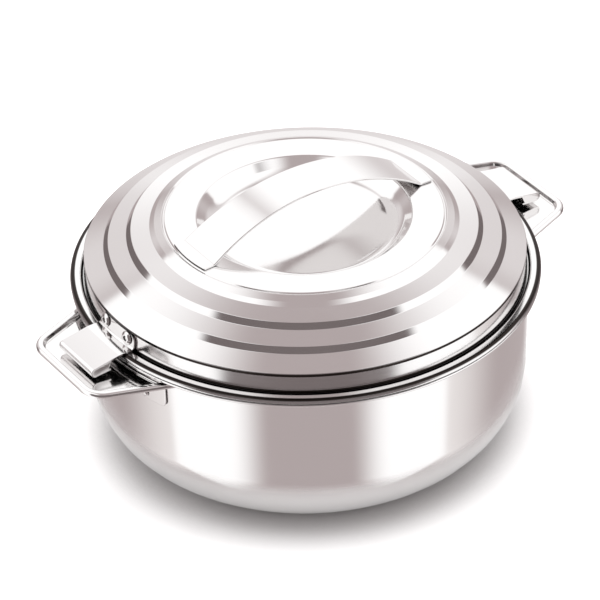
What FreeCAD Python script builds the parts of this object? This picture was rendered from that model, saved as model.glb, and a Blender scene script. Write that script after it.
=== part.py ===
import FreeCAD, Part
import math
import os
import Sketcher
from FreeCAD import Placement, Rotation, Vector

# Insulated chapati casserole of polished steel sheet: a double-walled bowl on a flat foot, a stepped
# double-walled lid that lifts off, a strap handle, two tray handles and two riveted lid clips.
# The origin is the centre of the foot. +Z is up, and the side handles lie along X. Millimetres.

DRIVING_SIZES = {
    # Double-walled body
    "sheet": 0.8,
    "rim_radius": 125.0,
    "rim_height": 98.0,
    "bead_width": 6.4,
    "bead_rise": 2.0,
    "bead_round": 1.5,
    "bead_bevel": 0.4,
    "bead_groove": 1.0,
    "lip_inset": 0.2,
    "lip_height": 1.5,
    "lip_overhang": 6.4,
    "wall_taper": 2.0,
    "belly_radius": 40.0,
    "foot_ring_width": 13.0,
    "foot_recess_depth": 1.4,
    "ledge_width": 14.1,
    "bowl_floor": 18.0,
    "bowl_corner_radius": 28.0,
    "mouth_bevel": 0.8,
    # Fill plugs
    "plug_hole_radius": 6.0,
    "plug_head_radius": 9.0,
    "plug_head_height": 0.9,
    "plug_shank_length": 4.0,
    # Lid pan
    "lid_seat_gap": 0.3,
    "stopper_clearance": 1.0,
    "stopper_depth": 12.0,
    "stopper_bevel": 3.0,
    "skirt_clearance": 0.8,
    "skirt_flare": 2.2,
    # Lid dome, each step told from the one below it
    "lid_edge_inset": 1.4,
    "lid_edge_rise": 11.2,
    "hem_height": 2.2,
    "hem_width": 1.1,
    "lower_step_inset": 13.2,
    "lower_step_rise": 7.8,
    "middle_step_inset": 12.3,
    "middle_step_rise": 6.3,
    "upper_step_inset": 12.5,
    "upper_step_rise": 4.0,
    "step_width": 2.5,
    "step_drop": 3.1,
    "upper_step_drop": 1.8,
    "disc_inset": 4.2,
    "disc_rise": 1.9,
    "press_lean": 0.3,
    "recess_margin": 18.0,
    "recess_wall_width": 7.5,
    "recess_depth": 7.5,
    "recess_round": 12.0,
    # Strap handle of the lid
    "strap_sheet": 1.2,
    "strap_width": 26.0,
    "strap_end_width": 28.4,
    "strap_rise": 20.1,
    "strap_foot_margin": 1.6,
    "strap_foot_length": 7.9,
    # Side handles
    "tray_length": 27.5,
    "tray_drop": 6.0,
    "tray_edge_height": 4.0,
    "tray_edge_width": 4.0,
    "tray_edge_round": 1.6,
    "tray_depth": 2.5,
    "tray_sheet": 0.9,
    "tray_outer_width": 60.0,
    "tray_spread": 0.38,
    "tray_corner": 14.0,
    "flange_width": 76.0,
    "flange_height": 16.0,
    "flange_corner": 3.0,
    "handle_rivet_margin": 13.5,
    "handle_rivet_rise": 3.7,
    "handle_rivet_radius": 2.3,
    "handle_rivet_head": 1.4,
    "handle_shank_radius": 1.2,
    # Lid clips
    "clip_sheet": 1.0,
    "clip_width": 32.0,
    "clip_length": 18.0,
    "clip_lift": 0.3,
    "clip_flat_length": 1.0,
    "clip_fall": 3.0,
    "clip_curl_height": 5.0,
    "clip_curl_round": 2.2,
    "clip_curl_length": 11.5,
    "clip_lip_rise": 1.0,
    "clip_corner": 5.0,
    "clip_rivet_margin": 6.0,
    "clip_rivet_rise": 4.85,
    "clip_rivet_radius": 3.7,
    "clip_rivet_head": 1.6,
    "clip_rivet_bevel": 1.0,
    "clip_shank_radius": 1.6,
    "rivet_eye_radius": 1.3,
    # Fits shared by all the pieces
    "gap": 0.3,
    "rivet_seat": 0.1,
}

NEAR = 0.01
OUTER_REACH = 400.0
CHORDS = 3
SHEET_NAME = "Sizes"

doc = FreeCAD.newDocument("chapati_casserole")


# Sizes and their formulas

def as_size(number):
    """Returns number as a Size, so that plain counts and Sizes can be mixed."""
    if isinstance(number, Size):
        return number
    return Size(float(number), repr(float(number)))


def joined(first, sign, second, value):
    """Returns the Size whose formula joins two others with an arithmetic sign."""
    return Size(value, f"({first.formula} {sign} {second.formula})")


class Size:
    """A number together with the spreadsheet formula that gives it."""

    def __init__(self, value, formula):
        self.value = value
        self.formula = formula

    def __add__(self, other):
        other = as_size(other)
        return joined(self, "+", other, self.value + other.value)

    def __sub__(self, other):
        other = as_size(other)
        return joined(self, "-", other, self.value - other.value)

    def __mul__(self, other):
        other = as_size(other)
        return joined(self, "*", other, self.value * other.value)

    def __truediv__(self, other):
        other = as_size(other)
        return joined(self, "/", other, self.value / other.value)

    def __neg__(self):
        return Size(-self.value, f"(0 - {self.formula})")

    def root(self):
        """Returns the square root, with its formula."""
        return Size(math.sqrt(self.value), f"sqrt({self.formula})")


class SizeSheet:
    """The spreadsheet of driving sizes, read by name as Sizes."""

    def __init__(self, document, values):
        self.values = values
        table = document.addObject("Spreadsheet::Sheet", SHEET_NAME)
        for row, (name, value) in enumerate(values.items(), 1):
            table.set(f"A{row}", name)
            table.set(f"B{row}", str(value))
            table.setAlias(f"B{row}", name)

    def __getattr__(self, name):
        return Size(self.values[name], f"{SHEET_NAME}.{name}")


size = SizeSheet(doc, DRIVING_SIZES)
doc.recompute()
ZERO = as_size(0)


# Sketches and features

def new_body(label):
    """Returns an empty body whose label names the piece."""
    body = doc.addObject("PartDesign::Body", label)
    body.Label = label
    return body


def new_sketch(body, name, role):
    """Returns a sketch on the origin plane of the body that has this role."""
    sketch = body.newObject("Sketcher::SketchObject", f"{body.Name}_{name}")
    plane = next(item for item in body.Origin.OriginFeatures if item.Role == role)
    sketch.AttachmentSupport = [(plane, "")]
    sketch.MapMode = "FlatFace"
    return sketch


def pin(sketch, kind, first, second, amount):
    """Adds a dimension to a sketch and binds it to a Size."""
    index = sketch.addConstraint(Sketcher.Constraint(kind, *first, *second, amount.value))
    sketch.setExpression(f"Constraints[{index}]", amount.formula)


def pin_point(sketch, geometry, end, across, up):
    """Places one end of a sketch line or arc by its two coordinates."""
    pin(sketch, "DistanceX", (-1, 1), (geometry, end), across)
    pin(sketch, "DistanceY", (-1, 1), (geometry, end), up)


def outline(sketch, corners):
    """Draws a closed outline through corners and pins every corner.

    A corner is a pair of Sizes, or a pair and the radius that rounds it with a tangent arc.
    """
    count = len(corners)
    points = [Vector(corner[0].value, corner[1].value, 0) for corner in corners]
    bends = [
        bend_at(points[index - 1], points[index], points[(index + 1) % count], corner[2:])
        for index, corner in enumerate(corners)
    ]
    lines = [
        sketch.addGeometry(Part.LineSegment(bends[index][-1], bends[(index + 1) % count][0]))
        for index in range(count)
    ]
    for index, corner in enumerate(corners):
        before = lines[index - 1]
        after = lines[index]
        if len(corner) == 2:
            sketch.addConstraint(Sketcher.Constraint("Coincident", before, 2, after, 1))
            pin_point(sketch, after, 1, *corner)
        else:
            round_corner(sketch, before, after, corner, bends[index])


def bend_at(previous, point, following, radius):
    """Returns the start, middle and end of the arc that rounds a corner, or the sharp corner alone."""
    if not radius:
        return [point]
    back = (previous - point).normalize()
    ahead = (following - point).normalize()
    half_angle = back.getAngle(ahead) / 2
    reach = radius[0].value / math.tan(half_angle)
    inward = (back + ahead).normalize()
    middle = point + inward * (radius[0].value / math.sin(half_angle) - radius[0].value)
    return [point + back * reach, middle, point + ahead * reach]


def round_corner(sketch, before, after, corner, bend):
    """Joins two lines with a tangent arc whose sharp corner is pinned as a construction point."""
    across, up, radius = corner
    arc = sketch.addGeometry(Part.Arc(*bend))
    first, last = (1, 2) if sketch.getPoint(arc, 1).isEqual(bend[0], NEAR) else (2, 1)
    sketch.addConstraint(Sketcher.Constraint("Tangent", before, 2, arc, first))
    sketch.addConstraint(Sketcher.Constraint("Tangent", arc, last, after, 1))
    peak = sketch.addGeometry(Part.Point(Vector(across.value, up.value, 0)), True)
    for line in (before, after):
        sketch.addConstraint(Sketcher.Constraint("PointOnObject", peak, 1, line))
    pin_point(sketch, peak, 1, across, up)
    pin_radius(sketch, arc, radius)


def pin_radius(sketch, geometry, radius):
    """Adds a radius to a circle or an arc and binds it to a Size."""
    index = sketch.addConstraint(Sketcher.Constraint("Radius", geometry, radius.value))
    sketch.setExpression(f"Constraints[{index}]", radius.formula)


def circle(sketch, across, up, radius):
    """Draws a circle whose centre and radius are pinned to Sizes."""
    index = sketch.addGeometry(Part.Circle(Vector(across.value, up.value, 0), Vector(0, 0, 1), radius.value))
    pin_point(sketch, index, 3, across, up)
    pin_radius(sketch, index, radius)


def turned(body, name, corners, kind="PartDesign::Revolution"):
    """Turns an outline in the XZ plane about the Z axis, as a solid or as a groove."""
    sketch = new_sketch(body, name, "XZ_Plane")
    outline(sketch, corners)
    feature = body.newObject(kind, f"{sketch.Name}_turn")
    feature.Profile = sketch
    feature.ReferenceAxis = (sketch, ["V_Axis"])
    feature.Angle = 360
    doc.recompute()
    return feature


def cut_through(body, sketch):
    """Cuts a sketch through the whole body, to both sides of its plane."""
    before = body.Shape.Volume
    pocket = body.newObject("PartDesign::Pocket", f"{sketch.Name}_cut")
    pocket.Profile = sketch
    pocket.Type = "Length"
    pocket.SideType = "Symmetric"
    pocket.Length = 2 * OUTER_REACH
    doc.recompute()
    if body.Shape.Volume >= before:
        raise ValueError(f"{pocket.Name} cuts nothing")


def rounded(body, radius, chosen):
    """Rounds every edge of the body that chosen() picks."""
    base = body.Tip
    names = [f"Edge{index}" for index, edge in enumerate(base.Shape.Edges, 1) if chosen(edge)]
    if not names:
        raise ValueError(f"no edge of {body.Label} to round")
    fillet = body.newObject("PartDesign::Fillet", f"{body.Name}_round")
    fillet.Base = (base, names)
    fillet.Radius = radius.value
    fillet.setExpression("Radius", radius.formula)
    doc.recompute()
    if "Invalid" in fillet.State:
        raise ValueError(f"{fillet.Name} of {body.Label} failed")


def shifted(corners, across, up):
    """Returns corners moved by two Sizes."""
    return [(corner[0] + across, corner[1] + up, *corner[2:]) for corner in corners]


# Places that several pieces share

ledge_top = size.rim_height - size.bead_rise
ledge_foot = ledge_top - size.sheet
bead_inner_radius = size.rim_radius - size.bead_width
bowl_radius = bead_inner_radius - size.ledge_width
lip_radius = size.rim_radius - size.lip_inset
lip_foot = ledge_foot - size.lip_height
wall_top_radius = lip_radius - size.lip_overhang
wall_foot_radius = wall_top_radius - size.wall_taper
belly_centre = wall_foot_radius - size.belly_radius
foot_recess_edge = belly_centre - size.foot_ring_width
foot_recess_radius = foot_recess_edge - size.foot_recess_depth
foam_top = ledge_foot - size.gap

seat_height = ledge_top + size.lid_seat_gap
stopper_radius = bowl_radius - size.stopper_clearance
stopper_foot = seat_height - size.stopper_depth
skirt_foot_radius = bead_inner_radius - size.skirt_clearance
skirt_top_radius = skirt_foot_radius - size.skirt_flare
lid_edge_radius = bead_inner_radius - size.lid_edge_inset
lid_edge_height = size.rim_height + size.lid_edge_rise
skirt_top = lid_edge_height - size.sheet
hem_foot = lid_edge_height - size.hem_height
lower_step_radius = lid_edge_radius - size.lower_step_inset
lower_step_height = lid_edge_height + size.lower_step_rise
middle_step_radius = lower_step_radius - size.middle_step_inset
middle_step_height = lower_step_height + size.middle_step_rise
upper_step_radius = middle_step_radius - size.upper_step_inset
upper_step_height = middle_step_height + size.upper_step_rise
disc_radius = upper_step_radius - size.disc_inset
disc_height = upper_step_height + size.disc_rise
recess_radius = disc_radius - size.recess_margin
recess_floor_radius = recess_radius - size.recess_wall_width
recess_floor = disc_height - size.recess_depth
strap_foot_radius = disc_radius - size.strap_foot_margin
strap_half_span = strap_foot_radius - size.strap_foot_length

tray_reach = size.rim_radius + size.tray_length
tray_top = size.rim_height - size.tray_drop
tray_floor = tray_top - size.tray_depth
tray_foot = tray_top - size.tray_edge_height
flange_foot = tray_floor - size.flange_height
handle_rivet_height = flange_foot + size.handle_rivet_rise
handle_rivet_spacing = size.flange_width - size.handle_rivet_margin * 2
arm_foot = size.rim_height + size.clip_lift
arm_top = arm_foot + size.clip_sheet
clip_reach = size.rim_radius + size.clip_length
clip_rivet_height = arm_foot + size.clip_rivet_rise
clip_rivet_spacing = size.clip_width - size.clip_rivet_margin * 2
drill_reach = (size.sheet + size.clip_sheet + size.gap) * 2


def wall_radius(height):
    """Outside radius of the tapering body wall at a height."""
    return wall_foot_radius + (wall_top_radius - wall_foot_radius) * height / ledge_foot


def skirt_radius(height):
    """Outside radius of the flaring lid skirt at a height."""
    return skirt_foot_radius - size.skirt_flare * (height - seat_height) / (skirt_top - seat_height)


# Rivets and the holes that they pass through

def rivet_places(radius, height, spacing, lean):
    """Returns the two places of a riveted row on the +X side.

    Each place is a frame on the wall at (radius, height) whose Z axis is the wall's normal, lean being
    the tangent of that normal's rise. spacing is the distance between the rivets along the wall.
    """
    turn = math.degrees(math.asin(spacing.value / 2 / radius.value))
    rise = math.degrees(math.atan(lean.value))
    places = []
    for angle in (-turn, turn):
        around = Rotation(Vector(0, 0, 1), angle)
        point = around.multVec(Vector(radius.value, 0, height.value))
        places.append(Placement(point, around.multiply(Rotation(Vector(0, 1, 0), 90 - rise))))
    return places


def on_side(place, side):
    """Returns a +X place turned to the side it belongs to, right being +X and left -X."""
    turn = 0 if side == "right" else 180
    return Placement(Vector(), Rotation(Vector(0, 0, 1), turn)).multiply(place)


def drilled(base, label, places, radius, depth):
    """Returns base with a round hole along the Z axis of each place, depth to both sides of it."""
    base.Label = f"{label}_undrilled"
    drills = []
    for index, place in enumerate(places, 1):
        drill = doc.addObject("Part::Cylinder", f"{label}_drill_{index}")
        drill.setExpression("Radius", radius.formula)
        drill.setExpression("Height", (depth * 2).formula)
        drill.Placement = place.multiply(Placement(Vector(0, 0, -depth.value), Rotation()))
        drills.append(drill)
    bundle = doc.addObject("Part::Compound", f"{label}_drills")
    bundle.Links = drills
    result = doc.addObject("Part::Cut", label)
    result.Base = base
    result.Tool = bundle
    doc.recompute()
    result.Label = label
    return result


def build_handle_rivet(label, place):
    """A small rivet through a handle flange and the body wall, hammered flush inside."""
    body = new_body(label)
    head = size.handle_rivet_radius
    grip = size.rivet_seat + size.tray_sheet + size.gap + size.sheet
    turned(body, "section", [
        (ZERO, size.handle_rivet_head),
        (head, size.handle_rivet_head),
        (head, ZERO),
        (size.handle_shank_radius, ZERO),
        (size.handle_shank_radius, -grip),
        (ZERO, -grip),
    ])
    body.Placement = place.multiply(Placement(Vector(0, 0, size.rivet_seat.value), Rotation()))
    return body


def build_clip_rivet(label, place):
    """A blind rivet through a clip and the lid skirt, with the open eye of its drawn stem."""
    body = new_body(label)
    head = size.clip_rivet_radius
    head_height = size.clip_rivet_head
    bevel = size.clip_rivet_bevel
    grip = size.rivet_seat + size.clip_sheet + size.gap + size.sheet
    tail_foot = -grip - size.clip_shank_radius
    turned(body, "section", [
        (ZERO, ZERO),
        (size.rivet_eye_radius, ZERO),
        (size.rivet_eye_radius, head_height),
        (head - bevel, head_height),
        (head, head_height - bevel),
        (head, ZERO),
        (size.clip_shank_radius, ZERO),
        (size.clip_shank_radius, tail_foot),
        (ZERO, tail_foot),
    ])
    body.Placement = place.multiply(Placement(Vector(0, 0, size.rivet_seat.value), Rotation()))
    return body


# Body of the casserole

def build_outer_shell(rivet_holes):
    """The drawn outer wall: recessed foot, round belly, tapering wall and folded lip."""
    body = new_body("outer_shell")
    turned(body, "outside", [
        (ZERO, size.foot_recess_depth),
        (foot_recess_radius, size.foot_recess_depth),
        (foot_recess_edge, ZERO),
        (wall_foot_radius, ZERO, size.belly_radius),
        (wall_radius(lip_foot), lip_foot),
        (lip_radius, lip_foot),
        (lip_radius, ledge_foot),
        (ZERO, ledge_foot),
    ])
    turned(body, "inside", [
        (ZERO, size.foot_recess_depth + size.sheet),
        (foot_recess_radius, size.foot_recess_depth + size.sheet),
        (foot_recess_edge, size.sheet),
        (wall_foot_radius - size.sheet, size.sheet, size.belly_radius - size.sheet),
        (wall_radius(ledge_foot) - size.sheet, ledge_foot),
        (ZERO, ledge_foot),
    ], "PartDesign::Groove")
    sketch = new_sketch(body, "fill_hole", "XY_Plane")
    circle(sketch, ZERO, ZERO, size.plug_hole_radius)
    cut_through(body, sketch)
    return drilled(body, "outer_shell", rivet_holes, size.handle_shank_radius + size.rivet_seat, drill_reach)


def build_inner_bowl():
    """The drawn food bowl, whose rim carries the lid ledge and is rolled into a closed bead."""
    body = new_body("inner_bowl")
    outer_radius = bowl_radius + size.sheet
    bead_foot = ledge_foot + size.gap
    groove_radius = size.rim_radius - size.bead_groove
    floor_foot = size.bowl_floor - size.sheet
    turned(body, "section", [
        (ZERO, size.bowl_floor),
        (bowl_radius, size.bowl_floor, size.bowl_corner_radius),
        (bowl_radius, ledge_top - size.mouth_bevel),
        (bowl_radius + size.mouth_bevel, ledge_top),
        (bead_inner_radius, ledge_top),
        (bead_inner_radius, size.rim_height - size.bead_bevel),
        (bead_inner_radius + size.bead_bevel, size.rim_height),
        (size.rim_radius, size.rim_height, size.bead_round),
        (size.rim_radius, bead_foot),
        (groove_radius, bead_foot),
        (groove_radius, ledge_foot),
        (outer_radius, ledge_foot),
        (outer_radius, floor_foot, size.bowl_corner_radius + size.sheet),
        (ZERO, floor_foot),
    ])
    return body


def inside_bend(across, up, radius):
    """Points of a flat-faced quarter turn whose corners lie on an arc, from its foot outwards."""
    angles = [math.radians(90 * step / CHORDS) for step in range(CHORDS + 1)]
    return [(across + radius * math.sin(angle), up - radius * math.cos(angle)) for angle in angles]


def outside_bend(across, up, radius):
    """Points of a flat-faced quarter turn whose sides touch an arc, from its side inwards."""
    half_step = math.radians(45 / CHORDS)
    reach = radius / math.cos(half_step)
    angles = [half_step * (2 * step - 1) for step in range(CHORDS, 0, -1)]
    return [(across + reach * math.sin(angle), up - reach * math.cos(angle)) for angle in angles]


def build_body_foam():
    """The foam between the two walls, clear of them by the shared gap."""
    body = new_body("body_foam")
    skin = size.sheet + size.gap
    bend_across = bowl_radius - size.bowl_corner_radius
    bend_up = size.bowl_floor + size.bowl_corner_radius
    turned(body, "section", [
        (ZERO, size.foot_recess_depth + skin),
        (foot_recess_radius, size.foot_recess_depth + skin),
        (foot_recess_edge, skin),
        *inside_bend(belly_centre, size.belly_radius, size.belly_radius - skin),
        (wall_radius(foam_top) - skin, foam_top),
        (bowl_radius + skin, foam_top),
        *outside_bend(bend_across, bend_up, size.bowl_corner_radius + skin),
        (ZERO, size.bowl_floor - skin),
    ])
    plug_room = size.foot_recess_depth + size.plug_shank_length + size.gap
    turned(body, "plug_room", [
        (ZERO, ZERO),
        (size.plug_hole_radius, ZERO),
        (size.plug_hole_radius, plug_room),
        (ZERO, plug_room),
    ], "PartDesign::Groove")
    return body


def build_fill_plug(label, place):
    """The push-in plug that closes the hole through which a wall is filled with foam."""
    body = new_body(label)
    shank_radius = size.plug_hole_radius - size.gap
    turned(body, "section", [
        (ZERO, ZERO),
        (size.plug_head_radius, ZERO),
        (size.plug_head_radius, size.plug_head_height),
        (shank_radius, size.plug_head_height),
        (shank_radius, size.plug_shank_length),
        (ZERO, size.plug_shank_length),
    ])
    body.Placement = place
    return body


# Lid

def build_lid_pan(rivet_holes):
    """The lid's underside: a stopper that hangs in the bowl, a seat ring and a flaring skirt."""
    body = new_body("lid_pan")
    inner_stopper = stopper_radius - size.sheet
    turned(body, "section", [
        (ZERO, stopper_foot),
        (stopper_radius - size.stopper_bevel, stopper_foot),
        (stopper_radius, stopper_foot + size.stopper_bevel),
        (stopper_radius, seat_height),
        (skirt_foot_radius, seat_height),
        (skirt_top_radius, skirt_top),
        (skirt_top_radius - size.sheet, skirt_top),
        (skirt_foot_radius - size.sheet, seat_height + size.sheet),
        (inner_stopper, seat_height + size.sheet),
        (inner_stopper, stopper_foot + size.stopper_bevel),
        (stopper_radius - size.stopper_bevel, stopper_foot + size.sheet),
        (ZERO, stopper_foot + size.sheet),
    ])
    sketch = new_sketch(body, "fill_hole", "XY_Plane")
    circle(sketch, ZERO, ZERO, size.plug_hole_radius)
    cut_through(body, sketch)
    return drilled(body, "lid_pan", rivet_holes, size.clip_shank_radius + size.rivet_seat, drill_reach)


def recess_line():
    """The upper side of the finger recess, from the axis to its rim."""
    return [
        (ZERO, recess_floor),
        (recess_floor_radius, recess_floor, size.recess_round),
        (recess_radius, disc_height),
    ]


def step_line():
    """The upper side of the disc and the three steps, outwards to the lid edge."""
    steps = [
        (upper_step_radius, upper_step_height, size.upper_step_drop),
        (middle_step_radius, middle_step_height, size.step_drop),
        (lower_step_radius, lower_step_height, size.step_drop),
    ]
    line = [(disc_radius, disc_height)]
    for radius, height, drop in steps:
        line.append((radius, height))
        line.append((radius + size.step_width, height - drop))
    return line


def build_lid_dome():
    """The pressed lid top: finger recess, flat disc, three steps and a hemmed edge."""
    body = new_body("lid_dome")
    hem_radius = lid_edge_radius - size.hem_width
    under_recess = shifted(recess_line(), size.press_lean, -size.sheet)
    under_recess = [(ZERO, recess_floor - size.sheet), under_recess[1][:2], under_recess[2]]
    under_steps = shifted(step_line(), -size.press_lean, -size.sheet)
    edge_slope = size.hem_width / 2
    turned(body, "section", recess_line() + step_line() + [
        (lid_edge_radius, lid_edge_height),
        (lid_edge_radius, hem_foot),
        (hem_radius, hem_foot),
        (hem_radius, lid_edge_height - size.sheet + edge_slope),
    ] + under_steps[::-1] + under_recess[::-1])
    return body


def build_lid_foam():
    """The foam inside the lid, clear of the pan, of the dome and of the rivet tails."""
    body = new_body("lid_foam")
    skin = size.sheet + size.gap
    tail = size.clip_shank_radius + size.rivet_seat * 2 + size.gap
    side = skirt_top_radius - size.sheet - tail - size.gap
    lean = size.press_lean + size.gap
    under_recess = shifted(recess_line(), lean, -skin)
    under_recess = [(ZERO, recess_floor - skin), under_recess[1][:2], under_recess[2]]
    under_steps = shifted(step_line(), -lean, -skin)
    core_radius = stopper_radius - skin
    seat_top = seat_height + skin
    last_radius, last_height = under_steps[-1][:2]
    fall = (lower_step_height - size.step_drop - lid_edge_height) / (
        lid_edge_radius - lower_step_radius - size.step_width
    )
    turned(body, "section", [
        (ZERO, stopper_foot + skin),
        (core_radius - size.stopper_bevel, stopper_foot + skin),
        (core_radius, stopper_foot + skin + size.stopper_bevel),
        (core_radius, seat_top),
        (side, seat_top),
        (side, last_height - (side - last_radius) * fall),
    ] + under_steps[::-1] + under_recess[::-1])
    plug_room = stopper_foot + size.plug_shank_length + size.gap
    turned(body, "plug_room", [
        (ZERO, stopper_foot),
        (size.plug_hole_radius, stopper_foot),
        (size.plug_hole_radius, plug_room),
        (ZERO, plug_room),
    ], "PartDesign::Groove")
    return body


def arc_through(sketch, half_width, foot, crest, centre):
    """Draws an arc from the right end over the crest to the left end, pinned at ends and centre."""
    middle = Vector(0, crest.value, 0)
    start = Vector(half_width.value, foot.value, 0)
    end = Vector(-half_width.value, foot.value, 0)
    index = sketch.addGeometry(Part.Arc(start, middle, end))
    first, last = (1, 2) if sketch.getPoint(index, 1).x > 0 else (2, 1)
    pin_point(sketch, index, first, half_width, foot)
    pin(sketch, "DistanceX", (-1, 1), (index, last), -half_width)
    pin(sketch, "DistanceY", (-1, 1), (index, 3), centre)
    return index


def build_strap_handle():
    """The arched strap over the recess, with an outturned foot at each end, wider at the feet."""
    body = new_body("strap_handle")
    foot_top = disc_height + size.strap_sheet
    crest = foot_top + size.strap_rise
    span = strap_half_span
    radius = (span * span + size.strap_rise * size.strap_rise) / (size.strap_rise * 2)
    centre = crest - radius
    inner_radius = radius - size.strap_sheet
    drop = disc_height - centre
    inner_span = (inner_radius * inner_radius - drop * drop).root()
    end = strap_foot_radius + size.strap_sheet
    sketch = new_sketch(body, "side_view", "XZ_Plane")
    arc_through(sketch, span, foot_top, crest, centre)
    arc_through(sketch, inner_span, disc_height, crest - size.strap_sheet, centre)
    for sign in (1, -1):
        corners = [(span, foot_top), (end, foot_top), (end, disc_height), (inner_span, disc_height)]
        corners = [(across * sign, up) for across, up in corners]
        for (across, up), (next_across, next_up) in zip(corners, corners[1:]):
            start = Vector(across.value, up.value, 0)
            stop = Vector(next_across.value, next_up.value, 0)
            line = sketch.addGeometry(Part.LineSegment(start, stop))
            pin_point(sketch, line, 1, across, up)
            pin_point(sketch, line, 2, next_across, next_up)
    pad = body.newObject("PartDesign::Pad", "strap_handle_sheet")
    pad.Profile = sketch
    pad.SideType = "Symmetric"
    pad.Length = size.strap_end_width.value
    pad.setExpression("Length", size.strap_end_width.formula)
    doc.recompute()
    trim_strap_sides(body, span)
    ends = new_sketch(body, "ends", "XY_Plane")
    circle(ends, ZERO, ZERO, strap_foot_radius)
    circle(ends, ZERO, ZERO, strap_foot_radius * 2)
    cut_through(body, ends)
    return body


def trim_strap_sides(body, span):
    """Waists the strap with two long hollow arcs, from its end width to its middle width."""
    sketch = new_sketch(body, "waist", "XY_Plane")
    end_half = size.strap_end_width / 2
    middle_half = size.strap_width / 2
    waist = end_half - middle_half
    bow = (span * span + waist * waist) / (waist * 2)
    circle(sketch, ZERO, middle_half + bow, bow)
    circle(sketch, ZERO, -(middle_half + bow), bow)
    cut_through(body, sketch)


# Side handles

def tray_corners(inset):
    """Corners of the tray outline seen from above, moved inwards by inset."""
    slope = size.tray_spread
    lengthening = (slope * slope + 1).root()
    def half_width(across):
        outer_half = size.tray_outer_width / 2
        return outer_half + (tray_reach - across) * slope - inset * lengthening
    near = bead_inner_radius / 2
    far = tray_reach - inset
    corner = size.tray_corner - inset
    return [
        (near, -half_width(near)),
        (far, -half_width(far), corner),
        (far, half_width(far), corner),
        (near, half_width(near)),
    ]


def tray_layer(body, name, kind, inset, low, high):
    """Adds or cuts one layer of the tray between two heights."""
    sketch = new_sketch(body, name, "XY_Plane")
    outline(sketch, tray_corners(inset))
    sketch.AttachmentOffset = Placement(Vector(0, 0, low.value), Rotation())
    sketch.setExpression("AttachmentOffset.Base.z", low.formula)
    before = body.Shape.Volume if body.Tip else 0
    feature = body.newObject(kind, f"{sketch.Name}_layer")
    feature.Profile = sketch
    feature.Length = (high - low).value
    feature.setExpression("Length", (high - low).formula)
    feature.Reversed = kind == "PartDesign::Pocket"
    doc.recompute()
    if abs(body.Shape.Volume - before) < NEAR:
        raise ValueError(f"{feature.Name} changes nothing")


def build_handle(label, side, rivet_holes):
    """A side handle: a shallow tray with a rolled edge and a flange that follows the body wall."""
    body = new_body(label)
    sheet = size.tray_sheet
    inner = size.tray_edge_width
    tray_layer(body, "block", "PartDesign::Pad", ZERO, tray_foot, tray_top)
    edge_faces = top_edges(body, tray_top)
    rounded(body, size.tray_edge_round, edge_faces)
    tray_layer(body, "tray", "PartDesign::Pocket", inner, tray_floor, tray_top)
    tray_layer(body, "underside", "PartDesign::Pocket", sheet, tray_foot, tray_floor - sheet)
    clear_of_wall(body)
    add_flange(body)
    body.Placement = on_side(Placement(), side)
    return drilled(body, label, rivet_holes, size.handle_shank_radius + size.rivet_seat, drill_reach)


def top_edges(body, height):
    """Returns a test for the edges of the tray block that lie at a height, clear of the wall."""
    near = bead_inner_radius.value / 2
    def test(edge):
        box = edge.BoundBox
        level = abs(box.ZMin - height.value) < NEAR and abs(box.ZMax - height.value) < NEAR
        return level and box.XMax > near + 1
    return test


def clear_of_wall(body):
    """Cuts the tray back to the body wall, leaving the shared gap."""
    sketch = new_sketch(body, "wall", "XY_Plane")
    circle(sketch, ZERO, ZERO, wall_radius(tray_top) + size.gap)
    cut_through(body, sketch)


def add_flange(body):
    """Adds the curved flange that hangs from the tray and is riveted to the body wall."""
    sheet = size.tray_sheet
    low = flange_foot
    sketch = new_sketch(body, "flange", "XZ_Plane")
    outline(sketch, [
        (wall_radius(low) + size.gap, low),
        (wall_radius(low) + size.gap + sheet, low),
        (wall_radius(tray_floor) + size.gap + sheet, tray_floor),
        (wall_radius(tray_floor) + size.gap, tray_floor),
    ])
    flange = body.newObject("PartDesign::Revolution", f"{body.Name}_flange_turn")
    flange.Profile = sketch
    flange.ReferenceAxis = (sketch, ["V_Axis"])
    flange.Midplane = True
    half_angle = size.flange_width / 2 / wall_top_radius
    flange.Angle = 2 * math.degrees(math.asin(half_angle.value))
    flange.setExpression("Angle", f"2 * asin({half_angle.formula})")
    doc.recompute()
    def lower_corner(edge):
        middle = edge.CenterOfMass
        radial = isinstance(edge.Curve, Part.Line) and abs(edge.Curve.Direction.z) < NEAR
        return radial and abs(middle.z - low.value) < NEAR
    rounded(body, size.flange_corner, lower_corner)


# Lid clips

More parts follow.
